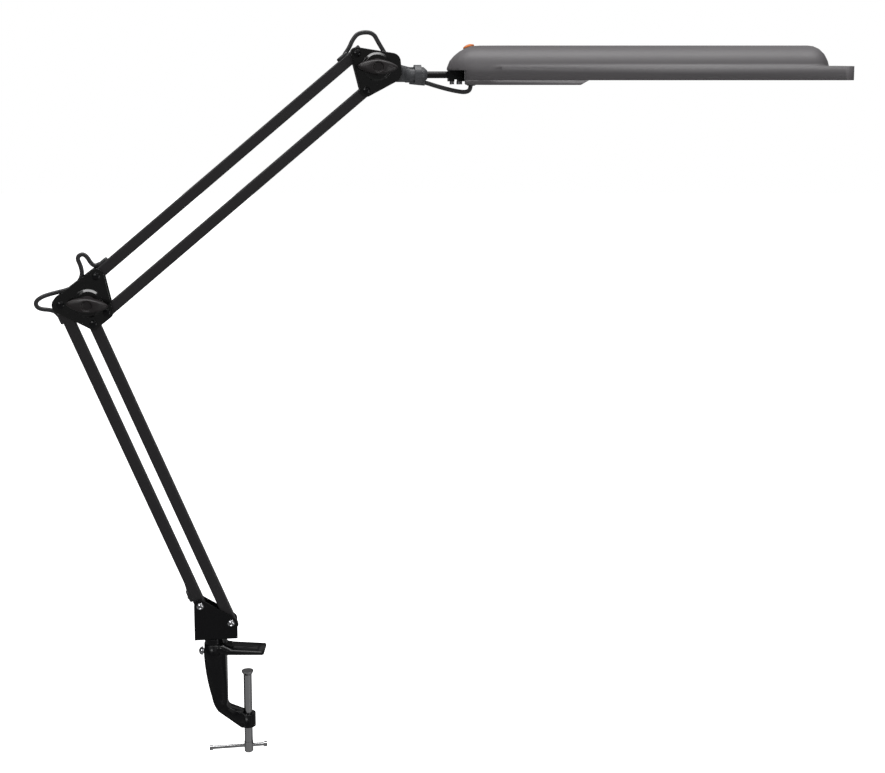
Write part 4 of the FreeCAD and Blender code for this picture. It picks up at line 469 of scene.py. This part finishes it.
def bright_metal(name, tone, rough, lines=(900.0, 900.0, 30.0), depth=0.00001):
    """Metal whose roughness and relief vary as noise(P * lines); its base colour is painted darker
    towards the rims, a painted dark reflection.
    """
    material = bpy.data.materials.new(name)
    material.use_nodes = True
    tree = material.node_tree.nodes
    link = material.node_tree.links.new
    shader = tree["Principled BSDF"]
    shader.inputs["Metallic"].default_value = 1.0
    place = tree.new("ShaderNodeTexCoord")
    stretch = tree.new("ShaderNodeMapping")
    stretch.inputs["Scale"].default_value = lines
    noise = tree.new("ShaderNodeTexNoise")
    noise.inputs["Scale"].default_value = 1.0
    noise.inputs["Detail"].default_value = 3.0
    gloss = tree.new("ShaderNodeMapRange")
    gloss.inputs["To Min"].default_value = rough * (1.0 - ROUGH_SHARE)
    gloss.inputs["To Max"].default_value = rough * (1.0 + ROUGH_SHARE)
    tint = tree.new("ShaderNodeGroup")
    tint.node_tree = SLOW_TONE
    tint.inputs["Tone"].default_value = (*tone, 1.0)
    tint.inputs["Spread"].default_value = 0.15
    tint.inputs["Scale"].default_value = 80.0
    bump = tree.new("ShaderNodeBump")
    bump.inputs["Distance"].default_value = depth
    link(place.outputs["Object"], stretch.inputs["Vector"])
    link(stretch.outputs["Vector"], noise.inputs["Vector"])
    link(noise.outputs["Fac"], gloss.inputs["Value"])
    link(gloss.outputs["Result"], shader.inputs["Roughness"])
    # Painted shade: the base colour is scaled down towards the rims, in place of the dark reflection of
    # black cards.
    facing = tree.new("ShaderNodeLayerWeight")
    facing.inputs["Blend"].default_value = 0.5
    shade = tree.new("ShaderNodeMapRange")
    shade.inputs["From Min"].default_value = RIM_START
    shade.inputs["From Max"].default_value = RIM_END
    shade.inputs["To Min"].default_value = 1.0
    shade.inputs["To Max"].default_value = PAINTED_RIM_SHADE
    rim_shaded_colour = tree.new("ShaderNodeVectorMath")
    rim_shaded_colour.operation = "SCALE"
    link(facing.outputs["Facing"], shade.inputs["Value"])
    link(tint.outputs["Color"], rim_shaded_colour.inputs["Vector"])
    link(shade.outputs["Result"], rim_shaded_colour.inputs["Scale"])
    link(rim_shaded_colour.outputs["Vector"], shader.inputs["Base Color"])
    link(noise.outputs["Fac"], bump.inputs["Height"])
    link(bump.outputs["Normal"], shader.inputs["Normal"])
    return material


zinc_steel = bright_metal("zinc_steel", (0.50, 0.50, 0.52), 0.2)
chrome_bar = bright_metal("chrome_bar", (0.50, 0.50, 0.51), 0.1)
brass = bright_metal("insert_brass", (0.60, 0.42, 0.16), 0.3)
aluminium = bright_metal("reflector_aluminium", (0.82, 0.82, 0.83), 0.25, lines=(20.0, 700.0, 700.0))
print("bright metals: 4")

# %% [markdown]
# ## The lamp's glass
# A compact lamp's tubes look milky, because their phosphor lies on the inside of clear glass.
# A bright white surface under a clear coat gives that without any light of its own.

# %% Phosphor under glass
phosphor = finish("lamp_phosphor", (0.86, 0.87, 0.86), 0.35, rough_spread=0.03, spread=0.04, coat=1.0)
print("lamp glass:", phosphor.name)

# %% [markdown]
# ## Which solid wears what
# The solids that already have the right shape keep it, and only take a material. A table from
# finish to nodes is easier to read and to change than one assignment for each node.

# %% Dress the CAD nodes
wardrobe = {
    black_gloss: ("clamp_frame", "base_bracket", "elbow_rivets", "head_plate_rivets", "swivel_post"),
    plate_paint: ("elbow_plate_front", "elbow_plate_rear", "head_plate_front", "head_plate_rear"),
    arm_satin: ("lower_bar_left", "lower_bar_right", "upper_bar_top", "upper_bar_bottom"),
    zinc_steel: ("socket_set_screw", "base_pivot_screws", "base_pivot_nuts", "elbow_bolt", "head_bolt",
                 "yaw_bolt", "yaw_nut", "rod_clamp_screw", "twist_grub_screw", "cover_screws",
                 "elbow_spacer", "lamp_clip"),
    chrome_bar: ("clamp_screw", "tommy_bar", "pressure_pad"),
    brass: ("elbow_knob_insert", "head_knob_insert"),
    nylon: ("bushings_lower_left", "bushings_lower_right", "bushings_upper_top",
            "bushings_upper_bottom", "tilt_friction_discs"),
    rubber: ("cable_grommets_lower", "cable_grommets_upper", "head_cable_grommet"),
    swivel_grain: ("swivel_arm", "swivel_ring", "switch_body"),
    bracket_black: ("head_bracket", "head_rod"),
    hood_satin: ("hood", "lower_cover"),
    switch_orange: ("power_button",),
    aluminium: ("reflector",),
    holder_white: ("lampholder", "lamp_base", "terminal_block"),
    phosphor: ("lamp_tubes",),
    ballast_grey: ("ballast",),
}
for material, wearers in wardrobe.items():
    for node in wearers:
        nodes[node].data.materials.clear()
        nodes[node].data.materials.append(material)
dressed = {node for wearers in wardrobe.values() for node in wearers}
print("dressed:", len(dressed), "undressed:", sorted(set(nodes) - dressed))

# %% [markdown]
# ## Smooth mouldings
# The solids arrive as flat facets with doubled corners. For the hood, its lower cover, the clamp
# and the swivel piece, a new piece takes the surface over with the corners joined, and every edge
# flatter than a limit is shaded smoothly. The nose and the shoulders then read as one moulding,
# while the notch and the rim stay crisp. No corner moves.

# %% Shade the mouldings smoothly
SMOOTH_LIMIT = math.radians(50.0)
SAME_CORNER = 1e-6


def smooth_moulding(node, body):
    """New piece with the node's surface: doubled corners joined, edges below the limit smooth."""
    work = bmesh.new()
    work.from_mesh(nodes[node].data)
    bmesh.ops.remove_doubles(work, verts=work.verts, dist=SAME_CORNER)
    mesh = bpy.data.meshes.new(node + "_moulding")
    work.to_mesh(mesh)
    work.free()
    mesh.materials.append(nodes[node].data.materials[0])
    mesh.polygons.foreach_set("material_index", np.zeros(len(mesh.polygons), dtype=np.int32))
    mesh.shade_smooth()
    mesh.set_sharp_from_angle(angle=SMOOTH_LIMIT)
    piece = bpy.data.objects.new(mesh.name, mesh)
    bpy.context.scene.collection.objects.link(piece)
    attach(piece, body)
    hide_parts(node)
    return piece


mouldings = [smooth_moulding("hood", "head"),
             smooth_moulding("lower_cover", "head"),
             smooth_moulding("clamp_frame", "clamp"),
             smooth_moulding("swivel_arm", "swivel")]
print("mouldings:", [(piece.name, len(piece.data.vertices)) for piece in mouldings])

# %% [markdown]
# ## Surfaces as grids
# The softer forms are grids of points worked out by a formula: rows follow one parameter, columns
# go once round. One function turns such a grid into a closed mesh, with a fan at each end.

# %% Closed surface from rings


def ring_surface(name, rings, material):
    """Mesh through an array of rings (rows, columns, 3); first and last rows are closed by a fan."""
    rows, columns = rings.shape[:2]
    ends = np.array([rings[0].mean(axis=0), rings[-1].mean(axis=0)])
    points = np.vstack([rings.reshape(-1, 3), ends])
    row, column = np.meshgrid(np.arange(rows - 1), np.arange(columns), indexing="ij")
    here = row * columns + column
    beside = row * columns + (column + 1) % columns
    quads = np.stack([here, beside, beside + columns, here + columns], axis=-1).reshape(-1, 4)
    loop = np.arange(columns)
    after = (loop + 1) % columns
    last = (rows - 1) * columns
    low_fan = np.stack([after, loop, np.full(columns, rows * columns)], axis=-1)
    high_fan = np.stack([last + loop, last + after, np.full(columns, rows * columns + 1)], axis=-1)
    mesh = bpy.data.meshes.new(name)
    mesh.from_pydata(points.tolist(), [], quads.tolist() + low_fan.tolist() + high_fan.tolist())
    mesh.polygons.foreach_set("use_smooth", np.ones(len(mesh.polygons), dtype=bool))
    mesh.materials.append(material)
    item = bpy.data.objects.new(name, mesh)
    bpy.context.scene.collection.objects.link(item)
    return item


def face_outwards(item):
    """Turn the surface inside out where its signed volume is negative."""
    mesh = item.data
    mesh.calc_loop_triangles()
    corners = np.zeros(len(mesh.vertices) * 3)
    mesh.vertices.foreach_get("co", corners)
    corners = corners.reshape(-1, 3)
    faces = np.zeros(len(mesh.loop_triangles) * 3, dtype=np.int32)
    mesh.loop_triangles.foreach_get("vertices", faces)
    a, b, c = corners[faces.reshape(-1, 3)].transpose(1, 0, 2)
    if np.einsum("ij,ij->i", a, np.cross(b, c)).sum() < 0.0:
        mesh.flip_normals()
    return item


# %% [markdown]
# ## The dressed cable
# Each route's NURBS is sampled by Blender itself, then a section is swept along it. The flex is a
# twin cord: two cores side by side under one jacket, with a shallow groove on both faces between
# them. The section is never wider than the solid cable.

# %% Twin flex along the four routes
CABLE_R = 0.0024
GROOVE = 0.2
GROOVE_WIDTH = 0.42
SECTION_POINTS = 28


def sampled_route(name, route):
    """The NURBS through a route's control points, as an array of points along it."""
    curve = bpy.data.curves.new(name, "CURVE")
    curve.dimensions = "3D"
    curve.resolution_u = 16
    spline = curve.splines.new("NURBS")
    spline.points.add(len(route) - 1)
    for point, place in zip(spline.points, route):
        point.co = (*to_row(place), 1.0)
    spline.order_u = 3
    spline.use_endpoint_u = True
    carrier = bpy.data.objects.new(name, curve)
    wire = bpy.data.meshes.new_from_object(carrier)
    places = np.zeros(len(wire.vertices) * 3)
    wire.vertices.foreach_get("co", places)
    bpy.data.objects.remove(carrier)
    bpy.data.curves.remove(curve)
    bpy.data.meshes.remove(wire)
    places = places.reshape(-1, 3)
    step = np.linalg.norm(np.diff(places, axis=0), axis=1)
    return places[np.concatenate([[True], step > 1e-6])]


def flex(name, places, material):
    """Sweep of r(t) = R * (1 - GROOVE * exp(-(d / GROOVE_WIDTH)^2)), d from the front or rear face."""
    heading = np.gradient(places, axis=0)
    heading /= np.linalg.norm(heading, axis=1, keepdims=True)
    across = np.array([-math.sin(ARM_YAW), math.cos(ARM_YAW), 0.0])
    side = np.cross(heading, across)
    side /= np.linalg.norm(side, axis=1, keepdims=True)
    front = np.cross(side, heading)
    turn = np.linspace(0.0, 2 * np.pi, SECTION_POINTS, endpoint=False)
    from_face = np.abs((turn % np.pi) - np.pi / 2)
    radius = CABLE_R * (1.0 - GROOVE * np.exp(-(from_face / GROOVE_WIDTH) ** 2))
    rings = (places[:, None] + side[:, None] * (radius * np.cos(turn))[None, :, None]
             + front[:, None] * (radius * np.sin(turn))[None, :, None])
    return face_outwards(ring_surface(name, rings, material))


def split_at(places, point):
    """Index of the sampled place nearest to a point."""
    return int(np.argmin(np.linalg.norm(places - point, axis=1)))


lower_places = sampled_route("lower_route", lower_stretch)
lower_flex = flex("lower_flex", lower_places, rubber)
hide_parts("cable_lower")
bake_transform(lower_flex)

upper_places = sampled_route("upper_route", upper_stretch)
middle = split_at(upper_places, to_row(elbow_top + polar(UPPER_ANGLE, UPPER_SPAN / 2)))
elbow_flex = flex("elbow_loop_flex", upper_places[:middle + 1], rubber)
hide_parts("cable_upper")
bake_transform(elbow_flex)
head_flex = flex("head_loop_flex", upper_places[middle:], rubber)
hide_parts("cable_upper")
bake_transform(head_flex)

swivel_places = sampled_route("swivel_route", swivel_stretch)
in_duct = split_at(swivel_places, to_row(from_origin(SWIVEL_DUCT, rod_origin)[2]))
tilt_flex = flex("tilt_flex", swivel_places[:in_duct + 1], rubber)
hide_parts("cable_swivel")
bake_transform(tilt_flex)
twist_flex = flex("twist_flex", swivel_places[in_duct:], rubber)
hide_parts("cable_swivel")
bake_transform(twist_flex)

yaw_flex = flex("yaw_flex", sampled_route("head_route", head_stretch), rubber)
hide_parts("cable_head")
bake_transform(yaw_flex)

# %% [markdown]
# ## The wing knobs
# A moulded knob has no sharp edge. Its side is a round foot that grows into a lozenge with two
# long wings, and its face falls off towards the wing tips and has a round dimple. Both parts are
# one grid: rings rise up the side, then shrink over the face to the middle.

# %% Moulded wing knobs
KNOB_HEIGHT = 15.5
KNOB_FOOT_R = 9.2
WING_REACH = 22.4
WING_WAIST = 8.4
WING_POWER = 1.6
DIMPLE_R = 5.6
DIMPLE_DEPTH = 2.1
WING_FALL = 3.0
WING_LEVEL = 6.0
FOOT_EASE = 0.06
FOOT_ROUND = 0.9
GROW_FROM, GROW_TO = 1.6, 6.2
SIDE_TOP = 9.0
DIMPLE_INSIDE, DIMPLE_OUTSIDE = 0.9, 0.5
SHOULDER_POWER = 10
ELBOW_KNOB_TURN, HEAD_KNOB_TURN = -5.0, -2.3
PLATE_INSIDE, PLATE, DISH_RISE = 6.65, 1.6, 2.4
SIDE_RUN, INSERT_FLANGE = 0.05, 1.0
KNOB_FACE = PLATE_INSIDE + PLATE + DISH_RISE + SIDE_RUN + INSERT_FLANGE


def smooth_step(x, low, high):
    """0 below low, 1 above high, and t * t * (3 - 2 t) between."""
    t = np.clip((x - low) / (high - low), 0.0, 1.0)
    return t * t * (3.0 - 2.0 * t)


def knob_rings():
    """Rings of the knob in mm: side by height, then face by share of the outline."""
    turn = np.linspace(0.0, 2 * np.pi, 144, endpoint=False)
    lozenge = (np.abs(np.cos(turn) / WING_REACH) ** WING_POWER
               + np.abs(np.sin(turn) / WING_WAIST) ** WING_POWER) ** (-1.0 / WING_POWER)
    height = np.concatenate([[0.0], np.linspace(0.35, SIDE_TOP, 22)])[:, None]
    grown = smooth_step(height, GROW_FROM, GROW_TO)
    pulled = 1.0 - FOOT_EASE * (1.0 - smooth_step(height, 0.0, FOOT_ROUND))
    side_r = (KNOB_FOOT_R * (1.0 - grown) + lozenge[None] * grown) * pulled
    side_h = np.broadcast_to(height, side_r.shape)
    share = np.cos(np.linspace(0.0, np.pi / 2, 44))[1:-1, None]
    edge_share = np.clip(share, 0.02, 1.0)
    face_r = lozenge[None] * edge_share
    crown = KNOB_HEIGHT - WING_FALL * smooth_step(face_r, WING_LEVEL, WING_REACH)
    dimple = 1.0 - smooth_step(face_r, DIMPLE_R - DIMPLE_INSIDE, DIMPLE_R + DIMPLE_OUTSIDE)
    crown = crown - DIMPLE_DEPTH * dimple
    shoulder = np.sqrt(np.clip(1.0 - edge_share ** SHOULDER_POWER, 0.0, 1.0))
    face_h = SIDE_TOP + (crown - SIDE_TOP) * shoulder
    radius = np.vstack([side_r, face_r])
    rise = np.vstack([side_h, face_h])
    return np.stack([radius * np.cos(turn), rise, radius * np.sin(turn)], axis=-1)


def wing_knob(name, axis_point, lean, body, node):
    """Knob on one joint's axis: turned by its lean, then stood off to the front of the arm."""
    across, rise, up = np.moveaxis(knob_rings(), -1, 0)
    angle = math.radians(lean)
    u = axis_point[0] + across * math.cos(angle) - up * math.sin(angle)
    w = axis_point[2] + across * math.sin(angle) + up * math.cos(angle)
    v = -(KNOB_FACE + rise)
    x = u * math.cos(ARM_YAW) - v * math.sin(ARM_YAW) - POST_TO_SCREW
    y = u * math.sin(ARM_YAW) + v * math.cos(ARM_YAW)
    knob = face_outwards(ring_surface(name, np.stack([x, y, w], axis=-1) / 1000.0, knob_grain))
    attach(knob, body)
    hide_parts(node)
    return knob


wing_knob("elbow_wing_knob", elbow_knob_axis, ELBOW_KNOB_TURN, "elbow_wing", "elbow_knob")
wing_knob("head_wing_knob", head_knob_axis, HEAD_KNOB_TURN, "head_wing", "head_knob")
print("wing knobs: 2")
